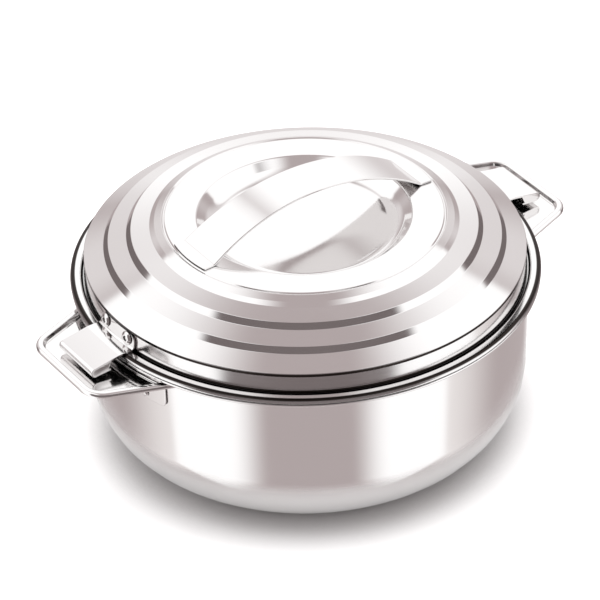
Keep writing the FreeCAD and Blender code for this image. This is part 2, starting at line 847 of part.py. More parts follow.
def build_clip(label, side, rivet_holes):
    """A lid clip: a plate riveted to the skirt, bent over the rim bead and curled at its free end."""
    body = new_body(label)
    sheet = size.clip_sheet
    plate_top = hem_foot - size.gap
    bend_reach = size.rim_radius - size.bead_width / 2
    turned(body, "plate", [
        (skirt_radius(arm_foot) + size.gap, arm_foot),
        (bend_reach, arm_foot),
        (bend_reach, arm_top),
        (skirt_radius(arm_top) + size.gap + sheet, arm_top),
        (skirt_radius(plate_top) + size.gap + sheet, plate_top),
        (skirt_radius(plate_top) + size.gap, plate_top),
    ])
    low = arm_foot - size.clip_fall - size.clip_curl_height + sheet
    end_top = arm_top - size.clip_fall
    end_inside = clip_reach - sheet
    inside_round = size.clip_curl_round - sheet
    lip_foot_height = low + size.clip_lip_rise
    start = bead_inner_radius
    flat_reach = size.rim_radius + size.clip_flat_length
    lip_reach = clip_reach - size.clip_curl_length
    sketch = new_sketch(body, "arm", "XZ_Plane")
    outline(sketch, [
        (start, arm_top),
        (flat_reach, arm_top),
        (clip_reach, end_top, size.clip_curl_round),
        (clip_reach, low, size.clip_curl_round),
        (lip_reach, lip_foot_height),
        (lip_reach, lip_foot_height + sheet),
        (end_inside, low + sheet, inside_round),
        (end_inside, end_top - sheet, inside_round),
        (flat_reach, arm_foot),
        (start, arm_foot),
    ])
    arm = body.newObject("PartDesign::Pad", f"{body.Name}_arm_pad")
    arm.Profile = sketch
    arm.SideType = "Symmetric"
    arm.Length = size.clip_width.value
    arm.setExpression("Length", size.clip_width.formula)
    doc.recompute()
    trim_clip(body, plate_top)
    body.Placement = on_side(Placement(), side)
    return drilled(body, label, rivet_holes, size.clip_shank_radius + size.rivet_seat, drill_reach)


def trim_clip(body, plate_top):
    """Cuts the turned plate to the clip's width and to the +X side, with rounded upper corners."""
    half = size.clip_width / 2
    far = size.rim_radius * 2
    sketch = new_sketch(body, "width", "YZ_Plane")
    outline(sketch, [(-far, -far), (far, -far), (far, far), (-far, far)])
    outline(sketch, [
        (-half, ZERO),
        (half, ZERO),
        (half, plate_top, size.clip_corner),
        (-half, plate_top, size.clip_corner),
    ])
    cut_through(body, sketch)
    behind = new_sketch(body, "behind", "XY_Plane")
    outline(behind, [(-far, -far), (ZERO, -far), (ZERO, far), (-far, far)])
    cut_through(body, behind)


# Assembly

def main():
    """Builds every piece, checks it and writes it as a STEP file named after its label."""
    wall_lean = -(wall_top_radius - wall_foot_radius) / ledge_foot
    skirt_lean = size.skirt_flare / (skirt_top - seat_height)
    flange_face = wall_radius(handle_rivet_height) + size.gap + size.tray_sheet
    clip_face = skirt_radius(clip_rivet_height) + size.gap + size.clip_sheet
    handle_row = rivet_places(flange_face, handle_rivet_height, handle_rivet_spacing, wall_lean)
    clip_row = rivet_places(clip_face, clip_rivet_height, clip_rivet_spacing, skirt_lean)
    sides = ("left", "right")
    handle_places = {side: [on_side(place, side) for place in handle_row] for side in sides}
    clip_places = {side: [on_side(place, side) for place in clip_row] for side in sides}
    all_handle_places = handle_places["left"] + handle_places["right"]
    all_clip_places = clip_places["left"] + clip_places["right"]

    body_plug_foot = size.foot_recess_depth - size.plug_head_height
    lid_plug_foot = stopper_foot - size.plug_head_height
    pieces = [
        build_outer_shell(all_handle_places),
        build_inner_bowl(),
        build_body_foam(),
        build_fill_plug("body_fill_plug", Placement(Vector(0, 0, body_plug_foot.value), Rotation())),
        build_lid_pan(all_clip_places),
        build_lid_dome(),
        build_lid_foam(),
        build_fill_plug("lid_fill_plug", Placement(Vector(0, 0, lid_plug_foot.value), Rotation())),
        build_strap_handle(),
    ]
    for side in sides:
        pieces.append(build_handle(f"{side}_handle", side, handle_places[side]))
        pieces.append(build_clip(f"{side}_lid_clip", side, clip_places[side]))
        for row, place in enumerate(handle_places[side], 1):
            pieces.append(build_handle_rivet(f"{side}_handle_rivet_{row}", place))
        for row, place in enumerate(clip_places[side], 1):
            pieces.append(build_clip_rivet(f"{side}_clip_rivet_{row}", place))
    doc.recompute()

    os.makedirs("parts", exist_ok=True)
    for item in doc.Objects:
        if "Invalid" in item.State or "Error" in item.State:
            raise ValueError(f"{item.Label} did not compute: {item.State}")
    for piece in pieces:
        if piece.Shape.isNull() or not piece.Shape.isValid() or len(piece.Shape.Solids) != 1:
            raise ValueError(f"{piece.Label} is not one valid solid")
        piece.Shape.exportStep(f"parts/{piece.Label}.step")
        print(f"{piece.Label}: {piece.Shape.Volume / 1000:.2f} cm3")


main()
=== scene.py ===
import logging
import math
from dataclasses import dataclass
from enum import Enum
from typing import Sequence

import bpy
import numpy as np
from mathutils import Matrix, Vector


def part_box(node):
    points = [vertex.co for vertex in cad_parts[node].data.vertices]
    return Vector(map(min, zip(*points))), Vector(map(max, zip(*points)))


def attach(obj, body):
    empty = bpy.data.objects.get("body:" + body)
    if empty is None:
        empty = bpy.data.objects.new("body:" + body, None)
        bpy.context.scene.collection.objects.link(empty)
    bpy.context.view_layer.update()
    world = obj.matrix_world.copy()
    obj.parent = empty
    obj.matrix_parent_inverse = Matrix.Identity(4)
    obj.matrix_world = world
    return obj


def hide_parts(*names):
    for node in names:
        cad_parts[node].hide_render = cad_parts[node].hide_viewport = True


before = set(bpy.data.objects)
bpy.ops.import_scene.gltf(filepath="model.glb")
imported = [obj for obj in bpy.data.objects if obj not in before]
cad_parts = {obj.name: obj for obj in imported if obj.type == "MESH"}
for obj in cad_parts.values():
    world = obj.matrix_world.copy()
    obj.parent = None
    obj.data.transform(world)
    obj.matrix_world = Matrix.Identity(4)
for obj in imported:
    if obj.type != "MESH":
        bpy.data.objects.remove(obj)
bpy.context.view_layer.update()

# An insulated casserole of polished steel sheet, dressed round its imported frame.
# Sizes are in millimetres and become metres when a mesh is made. The frame's origin is the centre
# of the foot.

LOG = logging.getLogger("casserole")
MM = 0.001
RING_STEPS = 320
SMALL_RING_STEPS = 48
ARC_STEPS = 8
EDGE_SEGMENTS = 3
EDGE_ANGLE = 50.0
AO_SAMPLES = 8

Line = tuple[np.ndarray, np.ndarray]
Colour = tuple[float, float, float]
Span = tuple[float, float]
Socket = bpy.types.NodeSocket


class Side(Enum):
    """A side of the casserole that carries a handle and a clip, with the sign of its X axis."""

    LEFT = -1
    RIGHT = 1

    @property
    def word(self) -> str:
        """The word that node names begin with."""
        return self.name.lower()


class Body(Enum):
    """A moving body of the frame."""

    BASE = "casserole_body"
    LID = "lid"


class Slot(Enum):
    """A material slot of the record."""

    BODY = "body_steel"
    BOWL = "bowl_steel"
    LID = "lid_steel"
    STRAP = "strap_steel"
    HANDLE = "handle_steel"
    CLIP = "clip_steel"
    RIVET = "rivet_steel"
    FOAM = "foam"
    PLUG = "plug_plastic"


# Outlines

@dataclass(frozen=True)
class Corner:
    """A corner of an outline, across and up from the origin, with the radius that rounds it."""

    across: float
    up: float
    radius: float = 0.0

    @property
    def point(self) -> np.ndarray:
        """The sharp corner."""
        return np.array([self.across, self.up])


def rounded_corner(before: np.ndarray, corner: Corner, after: np.ndarray) -> Line:
    """Points and normals of one corner's arc.

    The arc touches both sides of the corner. Its centre lies on the corner's bisector, and its points are
    spaced by equal angles about that centre.

    Args:
        before: The corner that comes before.
        corner: The corner to round.
        after: The corner that comes after.

    Returns:
        Points and unit normals, the normals to the left of the way that the outline runs.
    """
    way_in = (corner.point - before) / np.linalg.norm(corner.point - before)
    way_out = (after - corner.point) / np.linalg.norm(after - corner.point)
    turn = math.atan2(way_in[0] * way_out[1] - way_in[1] * way_out[0], way_in @ way_out)
    reach = corner.radius * math.tan(abs(turn) / 2)
    left_in = np.array([-way_in[1], way_in[0]])
    centre = corner.point - way_in * reach + left_in * corner.radius * math.copysign(1, turn)
    steps = max(2, math.ceil(ARC_STEPS * abs(turn) / (math.pi / 2)) + 1)
    angles = np.linspace(0, turn, steps)
    cos, sin = np.cos(angles), np.sin(angles)
    normals = np.stack([left_in[0] * cos - left_in[1] * sin, left_in[0] * sin + left_in[1] * cos], axis=1)
    return centre - normals * corner.radius * math.copysign(1, turn), normals


def rounded_outline(corners: Sequence[Corner], closed: bool = False) -> Line:
    """Points and normals of a whole outline, with an arc at each rounded corner.

    Args:
        corners: Corners in order. An end corner of an open outline keeps the normal of its one side.
        closed: Whether the last corner joins the first.

    Returns:
        Points and unit normals, the normals to the left of the way that the outline runs.
    """
    count = len(corners)
    points, normals = [], []
    for index, corner in enumerate(corners):
        end = not closed and index in (0, count - 1)
        if end:
            other = corners[1].point - corner.point if index == 0 else corner.point - corners[-2].point
            way = other / np.linalg.norm(other)
            points.append(corner.point[None])
            normals.append(np.array([[-way[1], way[0]]]))
            continue
        arc = rounded_corner(corners[index - 1].point, corner, corners[(index + 1) % count].point)
        points.append(arc[0])
        normals.append(arc[1])
    return np.concatenate(points), np.concatenate(normals)


# Meshes

def outward_faces(vertices: np.ndarray, faces: np.ndarray) -> np.ndarray:
    """Faces of a closed surface, turned so that they point outwards.

    The signed volume is a sixth of the sum, over fans of triangles, of the triple product of their corners.
    Where it is negative, every face is turned round.
    """
    fans = [(faces[:, 0], faces[:, index], faces[:, index + 1]) for index in range(1, faces.shape[1] - 1)]
    volume = sum(
        np.einsum("ij,ij->", vertices[a], np.cross(vertices[b], vertices[c])) for a, b, c in fans
    )
    return faces if volume > 0 else faces[:, ::-1]


def new_object(
    name: str, vertices: np.ndarray, faces: list[list[int]], normals: np.ndarray | None = None,
) -> bpy.types.Object:
    """A smooth mesh object in metres, from vertices in millimetres.

    Args:
        name: The piece's name.
        vertices: One row of three numbers for each vertex.
        faces: Vertex numbers of each face.
        normals: Unit normal of each vertex, or None to let Blender average them.

    Returns:
        The linked object, at the origin.
    """
    mesh = bpy.data.meshes.new(name)
    mesh.from_pydata((vertices * MM).tolist(), [], faces)
    mesh.polygons.foreach_set("use_smooth", np.ones(len(mesh.polygons), dtype=bool))
    mesh.update()
    if normals is not None:
        mesh.normals_split_custom_set_from_vertices(normals.tolist())
    made = bpy.data.objects.new(name, mesh)
    bpy.context.scene.collection.objects.link(made)
    return made


def lathe(
    name: str, corners: Sequence[Corner], steps: int = RING_STEPS, place: Matrix | None = None,
) -> bpy.types.Object:
    """Turns an outline about the Z axis.

    A point at radius r and height z goes to (r cos a, r sin a, z) for equal angles a. An outline that
    starts and ends on the axis closes there in two poles, and any other is a closed loop.

    Args:
        name: The piece's name.
        corners: The outline, radius across and height up.
        steps: Points on each ring.
        place: Where the turned piece goes, in millimetres, or None for the origin.

    Returns:
        The closed piece.
    """
    poles = corners[0].across == 0 and corners[-1].across == 0
    line, line_normals = rounded_outline(corners, closed=not poles)
    angles = np.arange(steps) * (2 * math.pi / steps)
    around = np.stack([np.cos(angles), np.sin(angles)], axis=1)
    rings = line[1:-1] if poles else line
    ring_normals = line_normals[1:-1] if poles else line_normals
    count = len(rings)
    vertices = ring_grid(rings, around)
    normals = ring_grid(ring_normals, around)
    row = steps * np.arange(count - 1 if poles else count)[:, None]
    next_row = (row + steps) % (count * steps)
    column = np.arange(steps)[None]
    next_column = (column + 1) % steps
    quads = np.stack([row + column, row + next_column, next_row + next_column, next_row + column], axis=-1)
    quads = quads.reshape(-1, 4)
    faces = outward_faces(vertices, quads).tolist()
    if poles:
        flipped = faces[0] != quads[0].tolist()
        first, last = count * steps, count * steps + 1
        ends = np.array([[0, 0, line[end][1]] for end in (0, -1)])
        end_normals = np.array([[0, 0, math.copysign(1, line_normals[end][1])] for end in (0, -1)])
        vertices, normals = np.concatenate([vertices, ends]), np.concatenate([normals, end_normals])
        ring = np.arange(steps)
        after = (ring + 1) % steps
        top = (count - 1) * steps
        low = np.stack([np.full(steps, first), after, ring], axis=1)
        high = np.stack([np.full(steps, last), ring + top, after + top], axis=1)
        fans = np.concatenate([low, high])
        faces += (fans[:, ::-1] if flipped else fans).tolist()
    outward = outward_normals(vertices, faces, normals)
    if place is not None:
        turn = np.array(place.to_3x3())
        vertices = vertices @ turn.T + np.array(place.translation)
        outward = outward @ turn.T
    return new_object(name, vertices, faces, outward)


def ring_grid(line: np.ndarray, around: np.ndarray) -> np.ndarray:
    """Every point of a line turned to every angle: (r, z) and (cos a, sin a) give (r cos a, r sin a, z)."""
    flat = line[:, None, :1] * around[None]
    heights = np.broadcast_to(line[:, None, 1:], (len(line), len(around), 1))
    return np.concatenate([flat, heights], axis=-1).reshape(-1, 3)


def outward_normals(vertices: np.ndarray, faces: list[list[int]], normals: np.ndarray) -> np.ndarray:
    """Vertex normals with the sign that agrees with the faces, judged on the first face."""
    corners = vertices[faces[0][:3]]
    facing = np.cross(corners[1] - corners[0], corners[2] - corners[0])
    return normals if facing @ normals[faces[0][0]] >= 0 else -normals


def sheet(name: str, points: np.ndarray, thickness: float, edge: float) -> bpy.types.Object:
    """A bent metal sheet: a grid of points on its upper side, thickened downwards, with rounded edges.

    Args:
        name: The piece's name.
        points: Grid of points, one row of three numbers for each, in two dimensions.
        thickness: Thickness of the sheet.
        edge: Radius that rounds its cut edges.

    Returns:
        The sheet with Solidify and Bevel on it.
    """
    rows, columns = points.shape[:2]
    row, column = np.arange(rows - 1)[:, None], np.arange(columns - 1)[None]
    corner = row * columns + column
    quads = np.stack([corner, corner + 1, corner + columns + 1, corner + columns], axis=-1).reshape(-1, 4)
    made = new_object(name, points.reshape(-1, 3), quads.tolist())
    finish_sheet(made, thickness, edge)
    return made


def finish_sheet(made: bpy.types.Object, thickness: float, edge: float) -> None:
    """Gives a surface its thickness below the drawn side, and rounds its cut edges."""
    wall = made.modifiers.new("thickness", "SOLIDIFY")
    wall.thickness = thickness * MM
    wall.offset = -1
    wall.use_even_offset = True
    rim = made.modifiers.new("edge", "BEVEL")
    rim.width = edge * MM
    rim.segments = EDGE_SEGMENTS
    rim.limit_method = "ANGLE"
    rim.angle_limit = math.radians(EDGE_ANGLE)
    rim.harden_normals = True


# Shader nodes

@dataclass
class Graph:
    """A node tree with short ways to add nodes and join them."""

    tree: bpy.types.NodeTree

    def add(self, kind: str, **settings: object) -> bpy.types.Node:
        """Adds a node of a kind and sets its properties."""
        node = self.tree.nodes.new(kind)
        for name, value in settings.items():
            setattr(node, name, value)
        return node

    def join(self, source: object, target: Socket) -> None:
        """Links a socket to a socket, or writes a plain value into it."""
        if isinstance(source, Socket):
            self.tree.links.new(source, target)
        else:
            target.default_value = source

    def math(self, operation: str, *values: object, clamp: bool = False) -> Socket:
        """Adds a Math node and returns its result."""
        node = self.add("ShaderNodeMath", operation=operation, use_clamp=clamp)
        for index, value in enumerate(values):
            self.join(value, node.inputs[index])
        return node.outputs[0]

    def product(self, first: object, *others: object) -> object:
        """Returns the product of several values."""
        for other in others:
            first = self.math("MULTIPLY", first, other)
        return first

    def length(self, across: object, along: object) -> Socket:
        """Returns the length of a vector from its two parts, the root of the sum of their squares."""
        squares = [self.math("MULTIPLY", part, part) for part in (across, along)]
        return self.math("SQRT", self.math("ADD", *squares))

    def place(self) -> Socket:
        """Returns the object coordinates."""
        return self.add("ShaderNodeTexCoord").outputs["Object"]

    def parts(self, vector: object) -> Sequence[Socket]:
        """Returns the three parts of a vector."""
        node = self.add("ShaderNodeSeparateXYZ")
        self.join(vector, node.inputs[0])
        return node.outputs

    def dot(self, vector: object, direction: Sequence[float]) -> Socket:
        """Returns how far a vector points along a direction."""
        node = self.add("ShaderNodeVectorMath", operation="DOT_PRODUCT")
        self.join(vector, node.inputs[0])
        node.inputs[1].default_value = tuple(direction)
        return node.outputs["Value"]

    def ramp(self, value: object, low: object, high: object, start: float = 0.0, end: float = 1.0) -> Socket:
        """Returns a smooth rise from start to end while value goes from low to high."""
        node = self.add("ShaderNodeMapRange", interpolation_type="SMOOTHSTEP")
        items = {"Value": value, "From Min": low, "From Max": high, "To Min": start, "To Max": end}
        for name, item in items.items():
            self.join(item, node.inputs[name])
        return node.outputs[0]

    def mix(self, amount: object, first: object, second: object) -> Socket:
        """Returns a mix of two colours."""
        node = self.add("ShaderNodeMix", data_type="RGBA")
        self.join(amount, node.inputs[0])
        self.join(first, node.inputs[6])
        self.join(second, node.inputs[7])
        return node.outputs[2]

    def noise(self, vector: object, scale: float, detail: float = 2.0, distortion: float = 0.0) -> Socket:
        """Returns a noise value between 0 and 1."""
        node = self.add("ShaderNodeTexNoise")
        self.join(vector, node.inputs["Vector"])
        node.inputs["Scale"].default_value = scale
        node.inputs["Detail"].default_value = detail
        node.inputs["Distortion"].default_value = distortion
        return node.outputs[0]

    def combine(self, *parts: object) -> Socket:
        """Returns a vector of three values."""
        node = self.add("ShaderNodeCombineXYZ")
        for index, part in enumerate(parts):
            self.join(part, node.inputs[index])
        return node.outputs[0]

    def bump(self, height: object, strength: float, depth: float) -> None:
        """Feeds a height into the normal of the Principled BSDF, with the depth of its full range in mm."""
        node = self.add("ShaderNodeBump")
        node.inputs["Strength"].default_value = strength
        node.inputs["Distance"].default_value = depth * MM
        self.join(height, node.inputs["Height"])
        self.join(node.outputs["Normal"], self.tree.nodes["Principled BSDF"].inputs["Normal"])


def rgba(colour: Colour) -> tuple[float, float, float, float]:
    """A colour with full alpha."""
    return (*colour, 1.0)


def new_material(name: str) -> tuple[bpy.types.Material, Graph, bpy.types.Node]:
    """A new material, its graph and its Principled BSDF."""
    made = bpy.data.materials.new(name)
    made.use_nodes = True
    graph = Graph(made.node_tree)
    return made, graph, graph.tree.nodes["Principled BSDF"]


def new_group(
    name: str, inputs: dict[str, tuple[str, object]], outputs: dict[str, str],
) -> tuple[bpy.types.NodeTree, Graph, bpy.types.Node, bpy.types.Node]:
    """Makes an empty shader node group.

    Args:
        name: The group's name.
        inputs: Socket type and default for each input.
        outputs: Socket type for each output.

    Returns:
        The group, its graph, its input node and its output node.
    """
    tree = bpy.data.node_groups.new(name, "ShaderNodeTree")
    for label, (kind, default) in inputs.items():
        socket = tree.interface.new_socket(label, in_out="INPUT", socket_type=kind)
        if default is not None:
            socket.default_value = default
    for label, kind in outputs.items():
        tree.interface.new_socket(label, in_out="OUTPUT", socket_type=kind)
    graph = Graph(tree)
    return tree, graph, graph.add("NodeGroupInput"), graph.add("NodeGroupOutput")


NUMBER = "NodeSocketFloat"
VECTOR = "NodeSocketVector"
COLOUR = "NodeSocketColor"


def polish_group() -> bpy.types.NodeTree:
    """Fine polishing lines along one coordinate, with the soft haze of handling over them.

    The lines are noise that is stretched along the way the mop ran, so they change quickly across it. The
    haze is a broad noise. Roughness is the base value plus both, and the height carries the lines and a
    slow ripple of the sheet.
    """
    tree, graph, given, result = new_group(
        "polish",
        {
            "Vector": (VECTOR, None),
            "Roughness": (NUMBER, 0.1),
            "Haze": (NUMBER, 0.04),
            "Lines": (NUMBER, 0.03),
            "Ripple": (NUMBER, 0.2),
        },
        {"Roughness": NUMBER, "Height": NUMBER},
    )
    lines = graph.noise(given.outputs["Vector"], 1.0, detail=3.0)
    haze = graph.noise(graph.place(), 34.0, detail=4.0, distortion=0.4)
    ripple = graph.noise(graph.place(), 12.0, detail=1.0)
    hazy = graph.product(graph.ramp(haze, 0.42, 0.72), given.outputs["Haze"])
    lined = graph.product(graph.math("SUBTRACT", lines, 0.5), given.outputs["Lines"])
    rough = graph.math("ADD", graph.math("ADD", given.outputs["Roughness"], hazy), lined, clamp=True)
    graph.join(rough, result.inputs["Roughness"])
    wave = graph.product(ripple, given.outputs["Ripple"])
    line_depth = 0.02
    graph.join(graph.math("ADD", graph.product(lines, line_depth), wave), result.inputs["Height"])
    return tree


def gap_shade_group() -> bpy.types.NodeTree:
    """Darkens a colour in narrow gaps and under edges by ambient occlusion, as painted shade."""
    tree, graph, given, result = new_group(
        "gap_grime",
        {
            "Colour": (COLOUR, (0.8, 0.8, 0.8, 1.0)),
            "Dark": (COLOUR, (0.03, 0.026, 0.026, 1.0)),
            "Reach": (NUMBER, 0.003),
        },
        {"Colour": COLOUR},
    )
    gap = graph.add("ShaderNodeAmbientOcclusion", samples=AO_SAMPLES)
    graph.join(given.outputs["Reach"], gap.inputs["Distance"])
    opened = graph.ramp(gap.outputs["AO"], 0.12, 0.62)
    graph.join(graph.mix(opened, given.outputs["Dark"], given.outputs["Colour"]), result.inputs["Colour"])
    return tree


def seam_group() -> bpy.types.NodeTree:
    """Gives 1 on a ring of painted shade between two heights and two radii, and 0 elsewhere, with soft
    borders.

    The value is the product of four smooth steps, one at each border.
    """
    tree, graph, given, result = new_group(
        "seam_ring",
        {name: (NUMBER, 0.0) for name in ("Low", "High", "Inner", "Outer", "Soft")},
        {"Seam": NUMBER},
    )
    across, along, height = graph.parts(graph.place())
    radius = graph.length(across, along)
    before, after = (graph.product(given.outputs["Soft"], share) for share in (-0.5, 0.5))
    steps = []
    for value, low, high in ((height, "Low", "High"), (radius, "Inner", "Outer")):
        for start, sign in ((given.outputs[low], 1.0), (given.outputs[high], -1.0)):
            passed = graph.product(graph.math("SUBTRACT", value, start), sign)
            steps.append(graph.ramp(passed, before, after))
    graph.join(graph.product(*steps), result.inputs["Seam"])
    return tree


@dataclass(frozen=True)
class Seam:
    """A ring painted dark where two sheets meet, as painted shade for the shadow gaps and dark reflections
    there, between two heights and two radii, in millimetres.
    """

    low: float
    high: float
    inner: float
    outer: float
    soft: float = 0.3


class Grain(Enum):
    """The way that a surface was polished."""

    ROUND = "round"
    ALONG = "along"


@dataclass(frozen=True)
class Steel:
    """Polished stainless steel.

    Attributes:
        name: The material's name.
        colour: Its reflection colour.
        roughness: Its roughness where it is clean.
        grain: The way that its polishing lines run.
        haze: How much duller the handled patches are.
        lines: How far the polishing lines change the roughness.
        ripple: Height of the sheet's slow ripple, in hundredths of a millimetre.
        gap_shade_reach: How wide a gap still gets painted shade, in millimetres.
        shadow_rings: Rings painted dark where sheets meet, painted shade for shadow gaps and dark
            reflections.
        seam_colour: Colour of the painted shade in those rings.
    """

    name: str
    colour: Colour = (0.83, 0.815, 0.812)
    roughness: float = 0.10
    grain: Grain = Grain.ROUND
    haze: float = 0.03
    lines: float = 0.03
    ripple: float = 0.3
    # Painted shade: how far ambient occlusion darkens the colour in narrow gaps.
    gap_shade_reach: float = 3.0
    # Rings of painted shade, and their colour.
    shadow_rings: tuple[Seam, ...] = ()
    seam_colour: Colour = (0.028, 0.022, 0.020)

    def build(self, kit: "Finishes") -> bpy.types.Material:
        """Builds the material from the shared groups."""
        made, graph, shader = new_material(self.name)
        polish = graph.add("ShaderNodeGroup", node_tree=kit.polish)
        graph.join(self.grain_vector(graph), polish.inputs["Vector"])
        for label in ("Roughness", "Haze", "Lines", "Ripple"):
            polish.inputs[label].default_value = getattr(self, label.lower())
        # Painted shade: ambient occlusion darkens the colour in narrow gaps.
        gap_shade = graph.add("ShaderNodeGroup", node_tree=kit.gap_shade)
        gap_shade.inputs["Colour"].default_value = rgba(self.colour)
        gap_shade.inputs["Reach"].default_value = self.gap_shade_reach * MM
        shader.inputs["Metallic"].default_value = 1.0
        # Rings of painted shade are laid over the colour.
        graph.join(self.with_seams(graph, kit, gap_shade.outputs["Colour"]), shader.inputs["Base Color"])
        graph.join(polish.outputs["Roughness"], shader.inputs["Roughness"])
        graph.bump(polish.outputs["Height"], strength=0.35, depth=0.01)
        return made

    def with_seams(self, graph: Graph, kit: "Finishes", colour: Socket) -> Socket:
        """The colour with every ring of painted shade laid over it."""
        for seam in self.shadow_rings:
            ring = graph.add("ShaderNodeGroup", node_tree=kit.seam)
            for label in ("Low", "High", "Inner", "Outer", "Soft"):
                ring.inputs[label].default_value = getattr(seam, label.lower()) * MM
            colour = graph.mix(ring.outputs["Seam"], colour, rgba(self.seam_colour))
        return colour

    def grain_vector(self, graph: Graph) -> Socket:
        """Object coordinates stretched so that noise in them runs along the grain.

        Round grain reads radius and height finely and the angle about the Z axis coarsely. Straight grain
        reads Y and Z finely and X coarsely.
        """
        across, along, up = graph.parts(graph.place())
        fine, straight, turned = 1800.0, 60.0, 1.5
        scaled = [(across, straight), (along, fine), (up, fine)]
        if self.grain is Grain.ROUND:
            scaled[:2] = (graph.length(across, along), fine), (graph.math("ARCTAN2", along, across), turned)
        return graph.combine(*(graph.product(part, scale) for part, scale in scaled))


@dataclass(frozen=True)
class Foam:
    """Rigid insulating foam, pale and finely pored."""

    name: str = "rigid_foam"
    colour: Colour = (0.80, 0.70, 0.46)
    shade: float = 0.78
    roughness: Span = (0.8, 0.95)

    def build(self, kit: "Finishes") -> bpy.types.Material:
        """Builds the material from two sizes of pore."""
        made, graph, shader = new_material(self.name)
        pores = graph.noise(graph.place(), 900.0, detail=3.0)
        cloud = graph.ramp(graph.noise(graph.place(), 40.0, detail=3.0), 0.3, 0.7)
        darker = tuple(value * self.shade for value in self.colour)
        graph.join(graph.mix(cloud, rgba(darker), rgba(self.colour)), shader.inputs["Base Color"])
        graph.join(graph.ramp(pores, 0.2, 0.8, *self.roughness), shader.inputs["Roughness"])
        graph.bump(pores, strength=0.6, depth=0.4)
        return made


@dataclass(frozen=True)
class Plastic:
    """Moulded plastic with a fine satin grain."""

    name: str
    colour: Colour
    tint: float = 1.25
    roughness: Span = (0.36, 0.54)

    def build(self, kit: "Finishes") -> bpy.types.Material:
        """Builds the material from a fine grain and a broad scuff."""
        made, graph, shader = new_material(self.name)
        grain = graph.noise(graph.place(), 2600.0, detail=2.0)
        scuff = graph.noise(graph.place(), 160.0, detail=4.0)
        worn = graph.ramp(scuff, 0.5, 0.8)
        paler = tuple(min(1.0, value * self.tint) for value in self.colour)
        graph.join(graph.mix(worn, rgba(self.colour), rgba(paler)), shader.inputs["Base Color"])
        graph.join(graph.ramp(scuff, 0.3, 0.8, *self.roughness), shader.inputs["Roughness"])
        graph.bump(grain, strength=0.25, depth=0.1)
        return made


# Rings of painted shade: the lid skirt's foot, the groove under the bead and the bead's outer face, the
# strap's ends, and the lid's hem.
BOWL_SHADOW_RINGS = (
    Seam(low=96.2, high=99.1, inner=116.5, outer=119.1, soft=0.5),
    Seam(low=94.7, high=95.8, inner=123.0, outer=126.0, soft=0.3),
    Seam(low=96.7, high=98.4, inner=122.4, outer=124.5, soft=0.5),
)
STRAP_SHADOW_RINGS = (Seam(low=128.9, high=130.2, inner=73.2, outer=73.7, soft=0.2),)
LID_SHADOW_RINGS = (Seam(low=106.0, high=108.9, inner=115.5, outer=118.5, soft=0.3),)


class Finishes:
    """Every finish of the casserole, each built once."""

    def __init__(self) -> None:
        """Builds the shared groups and the materials of all slots."""
        self.polish = polish_group()
        self.gap_shade = gap_shade_group()
        self.seam = seam_group()
        along = Grain.ALONG
        finishes = {
            Slot.BODY: Steel("body_polish", roughness=0.10),
            Slot.BOWL: Steel("bowl_satin", roughness=0.14, lines=0.08, ripple=0.2, shadow_rings=BOWL_SHADOW_RINGS),
            Slot.LID: Steel("lid_polish", roughness=0.08, shadow_rings=LID_SHADOW_RINGS),
            Slot.STRAP: Steel("strap_polish", roughness=0.07, grain=along, shadow_rings=STRAP_SHADOW_RINGS),
            Slot.HANDLE: Steel("handle_polish", roughness=0.09, grain=along, ripple=0.6),
            Slot.CLIP: Steel("clip_polish", roughness=0.08, grain=along, ripple=0.4, gap_shade_reach=2.0),
            Slot.RIVET: Steel("rivet_polish", roughness=0.12, gap_shade_reach=1.5),
            Slot.FOAM: Foam(),
            Slot.PLUG: Plastic("plug_grey", (0.30, 0.30, 0.31)),
        }
        self.materials = {slot: finish.build(self) for slot, finish in finishes.items()}

    def dress(self, piece: bpy.types.Object, slot: Slot) -> None:
        """Puts a slot's material on the whole of a piece."""
        piece.data.materials.clear()
        piece.data.materials.append(self.materials[slot])

    def dress_node(self, node: str, slot: Slot) -> None:
        """Puts a slot's material on a node that is carried over from the frame."""
        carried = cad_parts[node]
        for place in carried.material_slots:
            place.material = self.materials[slot]


@dataclass
class Maker:
    """Places finished pieces on their bodies and reports them."""

    finishes: Finishes

    def place(self, piece: bpy.types.Object, body: Body, slot: Slot, *nodes: str) -> None:
        """Dresses a piece, lets it ride on a body and replaces the nodes that it stands for."""
        self.finishes.dress(piece, slot)
        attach(piece, body.value)
        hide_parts(*nodes)
        LOG.info("%s stands for %s", piece.name, ", ".join(nodes))


# Sub-assemblies

